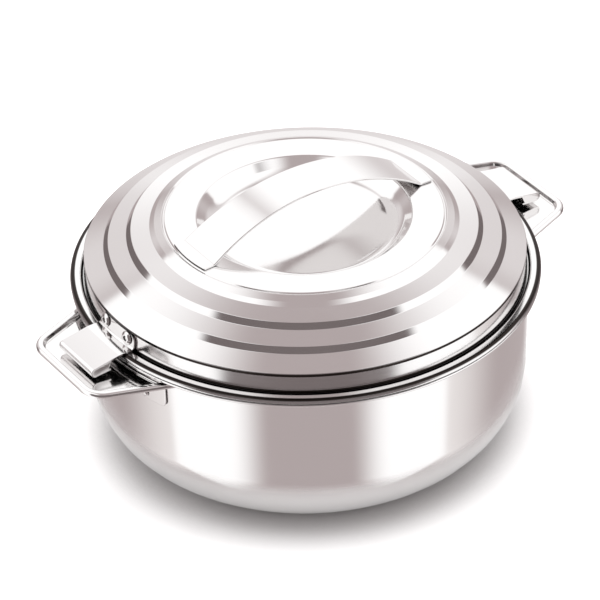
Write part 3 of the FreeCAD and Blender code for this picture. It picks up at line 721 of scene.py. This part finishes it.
@dataclass
class Shells:
    """The double-walled body: the outer shell, and the bowl with its rolled rim."""

    sheet: float = 0.8
    rim_radius: float = 125.0
    rim_height: float = 98.0
    bead_width: float = 6.4
    bead_rise: float = 2.0
    bead_round: float = 1.4
    bead_outer_round: float = 1.96
    bead_foot: float = 95.5
    lip_radius: float = 124.8
    lip_foot: float = 93.7
    ledge_foot: float = 95.2
    wall_top_radius: float = 118.4
    wall_foot_radius: float = 116.4
    belly_radius: float = 40.0
    recess_radius: float = 62.0
    recess_depth: float = 1.4
    bowl_radius: float = 104.5
    bowl_floor: float = 18.0
    bowl_round: float = 28.0

    def outer_shell(self) -> bpy.types.Object:
        """The outer wall, turned from the foot outwards, up to the lip and back inside."""
        sheet = self.sheet
        edge = self.recess_radius + self.recess_depth
        return lathe("outer_wall", [
            Corner(0, self.recess_depth),
            Corner(self.recess_radius, self.recess_depth, 1.2),
            Corner(edge, 0, 1.2),
            Corner(self.wall_foot_radius, 0, self.belly_radius),
            Corner(self.wall_top_radius, self.lip_foot, 0.5),
            Corner(self.lip_radius, self.lip_foot, 0.6),
            Corner(self.lip_radius, self.ledge_foot, 0.5),
            Corner(self.wall_top_radius - sheet, self.ledge_foot, 0.3),
            Corner(self.wall_foot_radius - sheet, sheet, self.belly_radius - sheet),
            Corner(edge, sheet, 0.4),
            Corner(self.recess_radius, self.recess_depth + sheet, 0.4),
            Corner(0, self.recess_depth + sheet),
        ])

    def inner_bowl(self) -> bpy.types.Object:
        """The food bowl, turned from its floor up to the ledge, over the bead and back outside."""
        sheet = self.sheet
        ledge = self.rim_height - self.bead_rise
        bead = self.rim_radius - self.bead_width
        outside = self.bowl_radius + sheet
        return lathe("bowl_wall", [
            Corner(0, self.bowl_floor),
            Corner(self.bowl_radius, self.bowl_floor, self.bowl_round),
            Corner(self.bowl_radius, ledge, 0.8),
            Corner(bead, ledge, 0.5),
            Corner(bead, self.rim_height, self.bead_round),
            Corner(self.rim_radius, self.rim_height, self.bead_outer_round),
            Corner(self.rim_radius, self.bead_foot, 0.7),
            Corner(self.rim_radius - 1.0, self.bead_foot, 0.08),
            Corner(self.rim_radius - 1.0, self.ledge_foot, 0.08),
            Corner(outside, self.ledge_foot, 0.3),
            Corner(outside, self.bowl_floor - sheet, self.bowl_round + sheet),
            Corner(0, self.bowl_floor - sheet),
        ])

    def build(self, maker: Maker) -> None:
        """Makes both walls and dresses the foam and the foot plug."""
        maker.place(self.outer_shell(), Body.BASE, Slot.BODY, "outer_shell")
        maker.place(self.inner_bowl(), Body.BASE, Slot.BOWL, "inner_bowl")
        maker.finishes.dress_node("body_foam", Slot.FOAM)
        maker.finishes.dress_node("body_fill_plug", Slot.PLUG)


@dataclass
class Lid:
    """The double-walled lid: the stepped dome with its finger recess, and the pan with its skirt."""

    sheet: float = 0.8
    edge_radius: float = 117.2
    edge_height: float = 109.2
    hem_height: float = 2.2
    hem_width: float = 1.1
    step_radii: tuple[float, ...] = (104.0, 91.7, 79.2)
    step_heights: tuple[float, ...] = (117.0, 123.3, 127.3)
    step_drops: tuple[float, ...] = (3.1, 3.1, 1.8)
    step_width: float = 2.5
    disc_radius: float = 75.0
    disc_height: float = 129.2
    groove_width: float = 1.5
    groove_depth: float = 0.6
    recess_radius: float = 57.0
    recess_floor_radius: float = 49.5
    recess_depth: float = 7.5
    recess_round: float = 12.0
    lean: float = 0.3
    seat_height: float = 96.3
    stopper_radius: float = 103.5
    stopper_foot: float = 84.3
    skirt_foot_radius: float = 117.8
    skirt_top_radius: float = 115.6

    def top_line(self, lean: float, fall: float, crease: float) -> list[Corner]:
        """Corners of the pressed top, from the axis outwards, each moved in and down."""
        floor = self.disc_height - self.recess_depth - fall
        groove = self.disc_height - self.groove_depth - fall
        line = [
            Corner(0, floor),
            Corner(self.recess_floor_radius + lean, floor, self.recess_round),
            Corner(self.recess_radius + lean, self.disc_height - fall, 1.6),
            Corner(self.disc_radius - self.groove_width, self.disc_height - fall, 0.3),
            Corner(self.disc_radius - self.groove_width * 0.62, groove, 0.3),
            Corner(self.disc_radius - self.groove_width * 0.3, groove, 0.2),
            Corner(self.disc_radius + 0.3 - lean, self.disc_height - 0.1 - fall, 0.3),
        ]
        for radius, height, drop in list(zip(self.step_radii, self.step_heights, self.step_drops))[::-1]:
            line.append(Corner(radius - lean, height - fall, crease))
            line.append(Corner(radius + self.step_width - lean, height - drop - fall, crease))
        return line

    def dome(self) -> bpy.types.Object:
        """The pressed top, turned over its steps to the hemmed edge and back inside."""
        hem = self.edge_radius - self.hem_width
        foot = self.edge_height - self.hem_height
        return lathe("lid_top", [
            *self.top_line(0.0, 0.0, 0.5),
            Corner(self.edge_radius, self.edge_height, 0.5),
            Corner(self.edge_radius, foot, 0.5),
            Corner(hem, foot, 0.3),
            Corner(hem, self.edge_height - self.sheet + self.hem_width / 2, 0.2),
            *self.top_line(self.lean, self.sheet, 0.3)[::-1],
        ])

    def pan(self) -> bpy.types.Object:
        """The underside, turned from the stopper out to the seat ring and up the skirt."""
        sheet = self.sheet
        top = self.edge_height - sheet
        inner = self.stopper_radius - sheet
        return lathe("lid_underside", [
            Corner(0, self.stopper_foot),
            Corner(self.stopper_radius, self.stopper_foot, 4.0),
            Corner(self.stopper_radius, self.seat_height, 0.8),
            Corner(self.skirt_foot_radius, self.seat_height, 1.6),
            Corner(self.skirt_top_radius, top, 0.2),
            Corner(self.skirt_top_radius - sheet, top, 0.2),
            Corner(self.skirt_foot_radius - sheet, self.seat_height + sheet, 0.8),
            Corner(inner, self.seat_height + sheet, 0.3),
            Corner(inner, self.stopper_foot + sheet, 3.2),
            Corner(0, self.stopper_foot + sheet),
        ])

    def build(self, maker: Maker) -> None:
        """Makes both sheets and dresses the foam and the plug."""
        maker.place(self.dome(), Body.LID, Slot.LID, "lid_dome")
        maker.place(self.pan(), Body.LID, Slot.BOWL, "lid_pan")
        maker.finishes.dress_node("lid_foam", Slot.FOAM)
        maker.finishes.dress_node("lid_fill_plug", Slot.PLUG)


@dataclass
class Strap:
    """The arched strap handle on the lid's disc."""

    sheet: float = 1.2
    width: float = 26.0
    end_width: float = 28.4
    rise: float = 20.1
    half_span: float = 65.5
    foot_radius: float = 73.4
    disc_height: float = 129.2
    crease: float = 2.0
    rows: int = 40
    arc_steps: int = 96
    bend_steps: int = 9

    def surface(self) -> np.ndarray:
        """Grid of the strap's upper side.

        The line runs along the X axis: a flat foot, a small bend, the long arc over the recess, and the
        same again. Each row of the grid is that line at one place across the strap. The width goes from
        the middle to the ends with the square of the distance, and the ends are cut to the foot circle.
        """
        foot = self.disc_height + self.sheet
        radius = (self.half_span ** 2 + self.rise ** 2) / (2 * self.rise)
        slope = math.asin(self.half_span / radius)
        angles = np.linspace(-slope, slope, self.arc_steps)
        arc_across = radius * np.sin(angles)
        arc_up = foot + self.rise - radius + radius * np.cos(angles)
        bend = self.crease * math.tan(slope / 2)
        keep = np.abs(arc_across) < self.half_span - bend * math.cos(slope)
        steps = np.linspace(0, slope, self.bend_steps)
        bend_across = self.half_span + bend - self.crease * np.sin(steps)
        bend_up = foot + self.crease - self.crease * np.cos(steps)
        flat = np.linspace(self.foot_radius, self.half_span + bend + 0.5, 6)
        right_across = np.concatenate([flat, bend_across])
        right_up = np.concatenate([np.full(len(flat), foot), bend_up])
        across = np.concatenate([-right_across, arc_across[keep], right_across[::-1]])
        up = np.concatenate([right_up, arc_up[keep], right_up[::-1]])
        lane = np.linspace(-1, 1, self.rows)[None]
        half = (self.width + (self.end_width - self.width) * (across / self.half_span) ** 2) / 2
        side = half[:, None] * lane
        reach = np.sqrt(self.foot_radius ** 2 - side ** 2)
        inner = self.half_span + bend
        foot_share = np.clip((np.abs(across[:, None]) - inner) / (self.foot_radius - inner), 0, 1)
        pulled = np.sign(across)[:, None] * (inner + foot_share * (reach - inner))
        along = np.where(foot_share > 0, pulled, across[:, None])
        return np.stack([along, side, np.broadcast_to(up[:, None], side.shape)], axis=-1)

    def build(self, maker: Maker) -> None:
        """Makes the strap."""
        piece = sheet("strap", self.surface()[:, ::-1], self.sheet, 0.35)
        maker.place(piece, Body.LID, Slot.STRAP, "strap_handle")


@dataclass
class Handle:
    """A side handle: a shallow tray with a rolled edge, and its flange on the body wall."""

    side: Side
    sheet: float = 0.9
    reach: float = 152.5
    top: float = 92.0
    edge_height: float = 2.2
    edge_width: float = 4.0
    depth: float = 2.5
    outer_width: float = 60.0
    spread: float = 0.38
    corner: float = 14.0
    wall_radius: float = 118.7
    root_depth: float = 0.8
    flange_width: float = 76.0
    flange_foot: float = 73.5
    flange_corner: float = 3.0
    edge_round: float = 1.7
    floor_round: float = 1.5
    columns: int = 160
    flange_columns: int = 40

    def outline(self, inset: float) -> np.ndarray:
        """The tray's plan outline moved inwards: out along one side, round the end and back.

        The sides lean by the spread, and both outer corners are arcs. The first and last points lie on
        the wall's circle. Every inset gives the same number of points.
        """
        lengthening = math.hypot(1, self.spread)
        far = self.reach - inset

        def half(across: float) -> float:
            """Half width of the tray at a distance from the axis."""
            return self.outer_width / 2 + (self.reach - across) * self.spread - inset * lengthening

        start = self.wall_meeting(inset)
        corners = [
            Corner(start, -half(start)),
            Corner(far, -half(far), self.corner - inset),
            Corner(far, half(far), self.corner - inset),
            Corner(start, half(start)),
        ]
        return resampled(rounded_outline(corners)[0], self.columns)

    def wall_meeting(self, inset: float) -> float:
        """Distance from the YZ plane at which a side of the outline meets the wall's circle."""
        across = self.wall_radius
        for _ in range(20):
            lengthening = math.hypot(1, self.spread)
            half = self.outer_width / 2 + (self.reach - across) * self.spread - inset * lengthening
            across = math.sqrt(self.wall_radius ** 2 - half ** 2)
        return across

    def surface(self) -> np.ndarray:
        """Grid of the tray's upper side.

        Down each column the point goes up the outer wall, over the rolled edge, down to the floor and in
        across the floor. The line is a rounded outline of insets and heights, the insets move the plan
        outline inwards, and past the edge the points run straight to the same share of an arc just inside
        the wall.
        """
        low = self.top - self.edge_height
        floor = self.top - self.depth
        line = rounded_outline([
            Corner(0.0, low),
            Corner(0.0, self.top, self.edge_round),
            Corner(self.edge_width, self.top, self.edge_round / 2),
            Corner(self.edge_width + 0.6, floor, self.floor_round / 2),
            Corner(self.edge_width + 3.0, floor),
        ])[0]
        rings = [
            np.column_stack([self.outline(max(0.0, inset)), np.full(self.columns, height)])
            for inset, height in line
        ]
        last = rings[-1]
        ends = np.arctan2(last[[0, -1], 1], last[[0, -1], 0])
        angles = np.linspace(ends[0], ends[1], len(last))
        wall = (self.wall_radius - self.root_depth) * np.array([np.cos(angles), np.sin(angles)])
        root = np.column_stack([*wall, np.full(self.columns, floor)])
        for share in np.linspace(0, 1, 5)[1:]:
            rings.append(last + (root - last) * share)
        return np.stack(rings)

    def flange(self) -> np.ndarray:
        """Grid of the flange's outer side.

        The line goes up the wall and bends outwards under the tray floor. It is turned about the Z axis
        over the flange's width, and the lower corners are rounded by narrowing the lowest rows.
        """
        outside = self.wall_radius + self.sheet
        under = self.top - self.depth - 0.05
        line = rounded_outline([
            Corner(outside - 0.35, self.flange_foot),
            Corner(outside - 0.1, under, 2.2),
            Corner(outside + 3.2, under),
        ])[0]
        fine = np.linspace(0, 1, 7)[1:-1, None]
        rise = line[0] + (line[1] - line[0]) * fine ** 2
        line = np.concatenate([line[:1], rise, line[1:]])
        away = np.clip(self.flange_corner - (line[:, 1] - self.flange_foot), 0, self.flange_corner)
        cut = self.flange_corner - np.sqrt(self.flange_corner ** 2 - away ** 2)
        half = np.arcsin(self.flange_width / 2 / self.wall_radius) - cut / self.wall_radius
        angles = half[:, None] * np.linspace(-1, 1, self.flange_columns)[None]
        heights = np.broadcast_to(line[:, 1:], angles.shape)
        around = line[:, :1]
        return np.stack([around * np.cos(angles), around * np.sin(angles), heights], axis=-1)

    def build(self, maker: Maker) -> None:
        """Makes the tray and the flange as one piece."""
        turn = np.array([self.side.value, self.side.value, 1])
        tray = sheet(f"{self.side.word}_tray", self.surface() * turn, self.sheet, 0.3)
        flange = sheet(f"{self.side.word}_flange", self.flange() * turn, self.sheet, 0.3)
        piece = joined(f"{self.side.word}_handle_tray", tray, flange)
        maker.place(piece, Body.BASE, Slot.HANDLE, f"{self.side.word}_handle")


def resampled(points: np.ndarray, count: int) -> np.ndarray:
    """The same line with a number of points spaced evenly along it."""
    steps = np.linalg.norm(np.diff(points, axis=0), axis=1)
    walked = np.concatenate([[0], np.cumsum(steps)])
    places = np.linspace(0, walked[-1], count)
    return np.column_stack([np.interp(places, walked, points[:, axis]) for axis in range(points.shape[1])])


def joined(name: str, *parts: bpy.types.Object) -> bpy.types.Object:
    """One object with the finished meshes of several, whose modifiers are applied first."""
    graph = bpy.context.evaluated_depsgraph_get()
    vertices: list[np.ndarray] = []
    faces: list[list[int]] = []
    count = 0
    for part in parts:
        mesh = bpy.data.meshes.new_from_object(part.evaluated_get(graph))
        flat = np.empty(len(mesh.vertices) * 3)
        mesh.vertices.foreach_get("co", flat)
        vertices.append(flat.reshape(-1, 3) / MM)
        faces += [[index + count for index in polygon.vertices] for polygon in mesh.polygons]
        count += len(mesh.vertices)
        bpy.data.objects.remove(part)
        bpy.data.meshes.remove(mesh)
    made = new_object(name, np.concatenate(vertices), faces)
    weights = made.modifiers.new("flat_faces_first", "WEIGHTED_NORMAL")
    weights.keep_sharp = True
    return made


@dataclass
class Clip:
    """A lid clip: a plate on the skirt, an arm over the rim and a curl at its end."""

    side: Side
    sheet: float = 1.0
    width: float = 32.0
    plate_top: float = 106.7
    plate_top_radius: float = 116.2
    plate_foot_radius: float = 117.73
    arm_top: float = 99.3
    flat_reach: float = 126.0
    reach: float = 143.0
    fall: float = 3.0
    curl_height: float = 5.0
    curl_round: float = 2.2
    curl_length: float = 11.5
    lip_rise: float = 1.0
    corner: float = 5.0
    foot_bend: float = 1.4
    fade_past: float = 2.0
    fade_length: float = 8.0
    columns: int = 33

    def surface(self) -> np.ndarray:
        """Grid of the clip's outer side.

        The line comes down the plate, bends out into the arm, runs over the rim, slopes down and curls
        back under. It is drawn once for each place across the clip. The plate's rows are bent round the
        skirt by the circle's fall, which fades along the arm, and its upper corners are rounded.
        """
        end_top = self.arm_top - self.fall
        low = end_top - self.curl_height
        line = rounded_outline([
            Corner(self.plate_top_radius + self.sheet, self.plate_top),
            Corner(self.plate_foot_radius + self.sheet, self.arm_top, self.foot_bend),
            Corner(self.flat_reach, self.arm_top, 6.0),
            Corner(self.reach, end_top, self.curl_round),
            Corner(self.reach, low, self.curl_round),
            Corner(self.reach - self.curl_length, low + self.lip_rise),
        ])[0]
        fine = np.linspace(0, 1, 9)[1:-1, None]
        plate = line[0] + (line[1] - line[0]) * fine ** 2
        line = np.concatenate([line[:1], plate, line[1:]])
        away = np.clip(self.corner - (self.plate_top - line[:, 1]), 0, self.corner)
        on_plate = np.arange(len(line)) < len(fine) + 1
        cut = np.where(on_plate, self.corner - np.sqrt(self.corner ** 2 - away ** 2), 0)
        half = self.width / 2 - cut
        side = half[:, None] * np.linspace(-1, 1, self.columns)[None]
        fade = np.clip((self.flat_reach + self.fade_past - line[:, :1]) / self.fade_length, 0, 1)
        circle_fall = self.plate_foot_radius - np.sqrt(self.plate_foot_radius ** 2 - side ** 2)
        bowed = line[:, :1] - circle_fall * fade
        heights = np.broadcast_to(line[:, 1:], side.shape)
        return np.stack([bowed, side, heights], axis=-1)

    def web(self, end: int, turn: np.ndarray) -> bpy.types.Object:
        """The flat web that closes one side of the curled end.

        Its outline follows the strip, half a thickness inside, and it is a prism as thick as the sheet.

        Args:
            end: The side of the clip, by the sign of its Y axis.
            turn: Signs of the axes that turn the clip to its side.

        Returns:
            The web.
        """
        inset = self.sheet / 2
        end_top = self.arm_top - self.fall - inset
        low = self.arm_top - self.fall - self.curl_height + inset
        slope = self.fall / (self.reach - self.flat_reach)
        start = self.reach - self.curl_length - 0.6
        far = self.reach - inset
        outline = rounded_outline([
            Corner(start, end_top + slope * (self.reach - start), 0.6),
            Corner(far, end_top, self.curl_round - inset),
            Corner(far, low, self.curl_round - inset),
            Corner(start + 2.2, low + self.lip_rise, 1.2),
        ], closed=True)[0]
        count = len(outline)
        side = self.width / 2 - 0.08
        layers = [
            np.column_stack([outline[:, 0], np.full(count, place * end), outline[:, 1]])
            for place in (side, side - self.sheet)
        ]
        around = np.arange(count)
        after = (around + 1) % count
        faces = [around.tolist(), (around[::-1] + count).tolist()]
        faces += np.stack([around, around + count, after + count, after], axis=1).tolist()
        outward = faces if end > 0 else [face[::-1] for face in faces]
        return new_object("web", np.concatenate(layers) * turn, outward)

    def build(self, maker: Maker) -> None:
        """Makes the clip."""
        turn = np.array([self.side.value, self.side.value, 1])
        strip = sheet(f"{self.side.word}_strip", (self.surface() * turn)[:, ::-1], self.sheet, 0.3)
        webs = [self.web(end, turn) for end in (-1, 1)]
        piece = joined(f"{self.side.word}_clip", strip, *webs)
        maker.place(piece, Body.LID, Slot.CLIP, f"{self.side.word}_lid_clip")


@dataclass
class Rivets:
    """The two rivets of a handle and the two of a clip on each side."""

    handle_radius: float = 2.3
    handle_head: float = 1.4
    handle_shank: float = 1.2
    handle_grip: float = 2.1
    handle_lean: float = -0.021
    clip_radius: float = 3.7
    clip_head: float = 1.6
    clip_shank: float = 1.6
    clip_tail: float = 3.8
    clip_lean: float = 0.1818
    eye: float = 1.3

    def solid(self) -> list[Corner]:
        """Outline of a solid domed rivet, head upwards."""
        return [
            Corner(0, self.handle_head),
            Corner(self.handle_radius * 0.62, self.handle_head, 1.2),
            Corner(self.handle_radius, 0.3, 0.25),
            Corner(self.handle_radius, 0, 0.1),
            Corner(self.handle_shank, 0, 0.05),
            Corner(self.handle_shank, -self.handle_grip, 0.1),
            Corner(0, -self.handle_grip),
        ]

    def blind(self) -> list[Corner]:
        """Outline of a blind rivet, head upwards, with the broken stem standing in its eye."""
        stem = self.eye * 0.62
        return [
            Corner(0, 0.75),
            Corner(stem, 0.75, 0.15),
            Corner(stem, 0.1, 0.05),
            Corner(self.eye, 0.1, 0.05),
            Corner(self.eye, self.clip_head, 0.4),
            Corner(self.clip_radius * 0.66, self.clip_head * 0.97, 2.0),
            Corner(self.clip_radius, 0.5, 0.4),
            Corner(self.clip_radius, 0, 0.12),
            Corner(self.clip_shank, 0, 0.08),
            Corner(self.clip_shank, -self.clip_tail, 0.2),
            Corner(0, -self.clip_tail),
        ]

    def place(self, node: str, lean: float, head: float) -> Matrix:
        """The frame of a rivet whose head's foot is at its origin and whose Z axis leaves the wall.

        The direction comes from the node's middle, seen from the Z axis, and leans by the wall's slope.
        The origin lies the head's height back from the outermost point of the node, along that direction.
        """
        low, high = (np.array(corner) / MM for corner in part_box(node))
        middle = (low + high) / 2
        angle = math.atan2(middle[1], middle[0])
        rise = math.atan(lean)
        axis = Vector((math.cos(angle) * math.cos(rise), math.sin(angle) * math.cos(rise), math.sin(rise)))
        turn = axis.to_track_quat("Z", "Y").to_matrix().to_4x4()
        length = head + (self.clip_tail if lean > 0 else self.handle_grip)
        return Matrix.Translation(Vector(middle) + axis * (length / 2 - head)) @ turn

    def build(self, maker: Maker) -> None:
        """Makes all eight rivets."""
        kinds = (
            ("handle", self.solid(), self.handle_lean, self.handle_head, Body.BASE),
            ("clip", self.blind(), self.clip_lean, self.clip_head, Body.LID),
        )
        for side in Side:
            for number in (1, 2):
                for kind, outline, lean, head, body in kinds:
                    node = f"{side.word}_{kind}_rivet_{number}"
                    place = self.place(node, lean, head)
                    piece = lathe(f"{node}_dome", outline, SMALL_RING_STEPS, place)
                    maker.place(piece, body, Slot.RIVET, node)


# Studio

@dataclass(frozen=True)
class Panels:
    """The panels round the room that only mirrored rays see, with their colours and soft borders.

    A border is a pair: the value where a panel starts to show and the value where it shows in full. The
    values are the ray's parts to the side, ahead towards the camera, and up. A slant is a pair too: a base
    and how much it moves as the ray rises.

    Attributes:
        side_slant: Inner limit of the white side panels.
        side_end_slant: Limit behind which the side panels end.
        back_side, back_ahead, back_up: Borders of the white panel straight behind.
        front_slant: Limit of the dark panel in front.
        front_foot, front_top: Its lower and upper borders.
        band_foot, band_top, band_side, band_ahead: Borders of the dark panels behind at the sides.
        pale_up, pale_ahead: Borders of the pale upper part behind.
        soft_behind, soft_up, soft_side: Borders of the soft light low at the sides.
    """

    white: Colour = (1.25, 1.25, 1.25)
    soft: Colour = (0.95, 0.91, 0.90)
    pale: Colour = (0.84, 0.80, 0.80)
    grey: Colour = (0.52, 0.455, 0.455)
    dark: Colour = (0.195, 0.165, 0.165)
    side_slant: Span = (0.219, -0.092)
    side_blur: Span = (0.0, 0.26)
    side_end_slant: Span = (-0.213, -0.627)
    side_end_blur: Span = (-0.03, 0.03)
    back_side: Span = (0.36, 0.16)
    back_ahead: Span = (-0.50, -0.72)
    back_up: Span = (-0.10, 0.30)
    front_slant: Span = (0.60, -0.38)
    front_blur: Span = (-0.05, 0.05)
    front_foot: Span = (-0.50, -0.28)
    front_top: Span = (0.81, 0.73)
    band_foot: Span = (-0.45, -0.25)
    band_top: Span = (0.32, 0.20)
    band_side: Span = (0.59, 0.67)
    band_ahead: Span = (-0.30, -0.42)
    pale_up: Span = (0.05, 0.38)
    pale_ahead: Span = (-0.52, -0.72)
    soft_behind: Span = (-0.58, 0.0)
    soft_up: Span = (0.0, -0.4)
    soft_side: Span = (0.6, 0.75)

    def colour(self, graph: Graph, side: Socket, ahead: Socket, up: Socket) -> Socket:
        """The colour that a mirrored ray meets.

        Each panel's mask is a product of smooth steps. The panels are laid over one another in this order:
        grey room, pale part, soft light, white panels, dark front, dark bands.

        Args:
            graph: The world's graph.
            side: How far the ray points to either side.
            ahead: How far it points towards the camera.
            up: How far it points up.

        Returns:
            The colour socket.
        """

        def slanting(base: float, slope: float) -> Socket:
            """A limit that moves with the height of the ray: base + slope times up."""
            return graph.math("ADD", graph.product(up, slope), base)

        inner = graph.math("SUBTRACT", side, slanting(*self.side_slant))
        behind = graph.math("SUBTRACT", ahead, slanting(*self.side_end_slant))
        front = graph.math("SUBTRACT", ahead, slanting(*self.front_slant))
        side_panel = graph.product(
            graph.ramp(inner, *self.side_blur),
            graph.ramp(behind, *self.side_end_blur),
        )
        middle = graph.product(graph.ramp(side, *self.back_side), graph.ramp(ahead, *self.back_ahead))
        back_panel = graph.product(middle, graph.ramp(up, *self.back_up))
        front_panel = graph.product(
            graph.ramp(front, *self.front_blur),
            graph.ramp(up, *self.front_foot),
            graph.ramp(up, *self.front_top),
        )
        bands = graph.product(
            graph.ramp(up, *self.band_top),
            graph.ramp(up, *self.band_foot),
            graph.ramp(graph.math("SUBTRACT", side, up), *self.band_side),
            graph.ramp(ahead, *self.band_ahead),
        )
        upper = graph.math("MAXIMUM", graph.ramp(up, *self.pale_up), middle)
        low_light = graph.product(
            graph.ramp(behind, *self.soft_behind),
            graph.ramp(up, *self.soft_up),
            graph.ramp(side, *self.soft_side),
        )
        layers = (
            (graph.product(graph.ramp(ahead, *self.pale_ahead), upper), self.pale),
            (low_light, self.soft),
            (graph.math("MAXIMUM", side_panel, back_panel), self.white),
            (front_panel, self.dark),
            (bands, self.dark),
        )
        seen = rgba(self.grey)
        for mask, colour in layers:
            seen = graph.mix(mask, seen, rgba(colour))
        return seen


@dataclass
class Studio:
    """The camera, the pale floor, the soft light and the panels that the steel mirrors."""

    azimuth: float = -33.0
    elevation: float = 34.61
    distance: float = 2136.0
    aim_right: float = -3.46
    aim_up: float = 73.95
    roll: float = -1.62
    lens: float = 240.0
    sensor: float = 36.0
    floor_half: float = 6.0
    room: Colour = (1.75, 1.73, 1.73)
    paper: Colour = (0.93, 0.925, 0.925)
    # Colour of the painted shadow close to the foot.
    painted_shadow: Colour = (0.36, 0.345, 0.345)
    mirrored_paper: float = 0.70
    # Reach and fade of that painted shadow.
    contact_reach: float = 26.0
    contact_open: Span = (0.15, 0.95)
    clear_from: Span = (0.114, 0.165)
    clip_range: Span = (0.05, 60.0)
    lamp_size: float = 1.6
    lamp_energy: float = 3.0
    lamp_place: tuple[float, float, float] = (-0.4, -0.8, 1.8)
    lamp_aim_height: float = 0.05
    panels: Panels = Panels()

    @property
    def right(self) -> Vector:
        """Unit vector to the right of the picture."""
        turn = math.radians(self.azimuth)
        return Vector((math.cos(turn), math.sin(turn), 0))

    @property
    def front(self) -> Vector:
        """Level unit vector from the casserole towards the camera."""
        turn = math.radians(self.azimuth)
        return Vector((math.sin(turn), -math.cos(turn), 0))

    def camera(self) -> None:
        """Stands the camera where the picture was taken from, turned by the picture's roll."""
        tilt = math.radians(self.elevation)
        back = self.front * math.cos(tilt) + Vector((0, 0, math.sin(tilt)))
        aim = self.right * self.aim_right + Vector((0, 0, self.aim_up))
        up = back.cross(self.right)
        roll = math.radians(self.roll)
        right = self.right * math.cos(roll) + up * math.sin(roll)
        up = back.cross(right)
        data = bpy.data.cameras.new("camera")
        data.lens = self.lens
        data.sensor_width = self.sensor
        data.clip_start, data.clip_end = self.clip_range
        made = bpy.data.objects.new("camera", data)
        made.matrix_world = Matrix.Translation((aim + back * self.distance) * MM) @ Matrix(
            (right, up, back)
        ).transposed().to_4x4()
        bpy.context.scene.collection.objects.link(made)
        bpy.context.scene.camera = made

    def floor(self) -> None:
        """A pale floor that keeps the shadow.

        Its colour is also painted darker close to the foot, a painted shadow from ambient occlusion over a
        short reach.
        Mirrored rays see it dimmed, and far from the foot they pass it and meet the panels.
        """
        half = self.floor_half
        corners = [(-half, -half, 0), (half, -half, 0), (half, half, 0), (-half, half, 0)]
        mesh = bpy.data.meshes.new("floor")
        mesh.from_pydata(corners, [], [(0, 1, 2, 3)])
        made = bpy.data.objects.new("floor", mesh)
        bpy.context.scene.collection.objects.link(made)
        material = bpy.data.materials.new("floor_paper")
        material.use_nodes = True
        graph = Graph(material.node_tree)
        graph.tree.nodes.clear()
        glossy = graph.add("ShaderNodeLightPath").outputs["Is Glossy Ray"]
        # Painted shadow: ambient occlusion over a short reach mixes the paper towards a darker colour close
        # to the foot.
        near = graph.add("ShaderNodeAmbientOcclusion", samples=AO_SAMPLES)
        near.inputs["Distance"].default_value = self.contact_reach * MM
        opened = graph.ramp(near.outputs["AO"], *self.contact_open)
        paper = graph.add("ShaderNodeBsdfDiffuse")
        shadowed_paper = graph.mix(opened, rgba(self.painted_shadow), rgba(self.paper))
        dimmed = rgba(tuple(value * self.mirrored_paper for value in self.paper))
        graph.join(graph.mix(glossy, shadowed_paper, dimmed), paper.inputs["Color"])
        clear = graph.add("ShaderNodeBsdfTransparent")
        length = graph.add("ShaderNodeVectorMath", operation="LENGTH")
        graph.join(graph.place(), length.inputs[0])
        far = graph.ramp(length.outputs["Value"], *self.clear_from)
        mix = graph.add("ShaderNodeMixShader")
        graph.join(graph.product(far, glossy), mix.inputs[0])
        graph.join(paper.outputs[0], mix.inputs[1])
        graph.join(clear.outputs[0], mix.inputs[2])
        graph.join(mix.outputs[0], graph.add("ShaderNodeOutputMaterial").inputs["Surface"])
        made.data.materials.append(material)

    def world(self) -> None:
        """A white studio for the camera, a plain light for the floor, and the panels for mirrored rays."""
        world = bpy.data.worlds.new("studio")
        bpy.context.scene.world = world
        world.use_nodes = True
        graph = Graph(world.node_tree)
        graph.tree.nodes.clear()
        direction = graph.add("ShaderNodeTexCoord").outputs["Generated"]
        side = graph.math("ABSOLUTE", graph.dot(direction, self.right))
        ahead = graph.dot(direction, self.front)
        mirrored = self.panels.colour(graph, side, ahead, graph.dot(direction, (0, 0, 1)))
        path = graph.add("ShaderNodeLightPath").outputs
        seen = graph.math("ADD", path["Is Glossy Ray"], path["Is Transmission Ray"], clamp=True)
        plain = graph.mix(path["Is Camera Ray"], rgba(self.room), rgba((1.0, 1.0, 1.0)))
        background = graph.add("ShaderNodeBackground")
        graph.join(graph.mix(seen, plain, mirrored), background.inputs["Color"])
        graph.join(background.outputs[0], graph.add("ShaderNodeOutputWorld").inputs["Surface"])

    def lamp(self) -> None:
        """One broad soft lamp above and behind, which lays the shadow forwards."""
        data = bpy.data.lights.new("top_lamp", "AREA")
        data.shape = "DISK"
        data.size = self.lamp_size
        data.energy = self.lamp_energy
        right, front, up = self.lamp_place
        made = bpy.data.objects.new("top_lamp", data)
        made.location = self.front * front + self.right * right + Vector((0, 0, up))
        made.rotation_mode = "QUATERNION"
        aim = Vector((0, 0, self.lamp_aim_height))
        made.rotation_quaternion = (made.location - aim).to_track_quat("Z", "Y")
        made.visible_glossy = False
        bpy.context.scene.collection.objects.link(made)

    def build(self) -> None:
        """Sets up the whole studio."""
        bpy.context.scene.view_settings.view_transform = "Standard"
        self.camera()
        self.floor()
        self.world()
        self.lamp()


def write_sizes() -> None:
    """Brings the view layer up to date."""
    bpy.context.view_layer.update()


def main() -> None:
    """Builds the studio and every piece of the casserole."""
    logging.basicConfig(level=logging.INFO, format="%(name)s: %(message)s")
    maker = Maker(Finishes())
    Studio().build()
    Shells().build(maker)
    Lid().build(maker)
    Strap().build(maker)
    for side in Side:
        Handle(side).build(maker)
        Clip(side).build(maker)
    Rivets().build(maker)
    write_sizes()


if __name__ == "__main__":
    main()
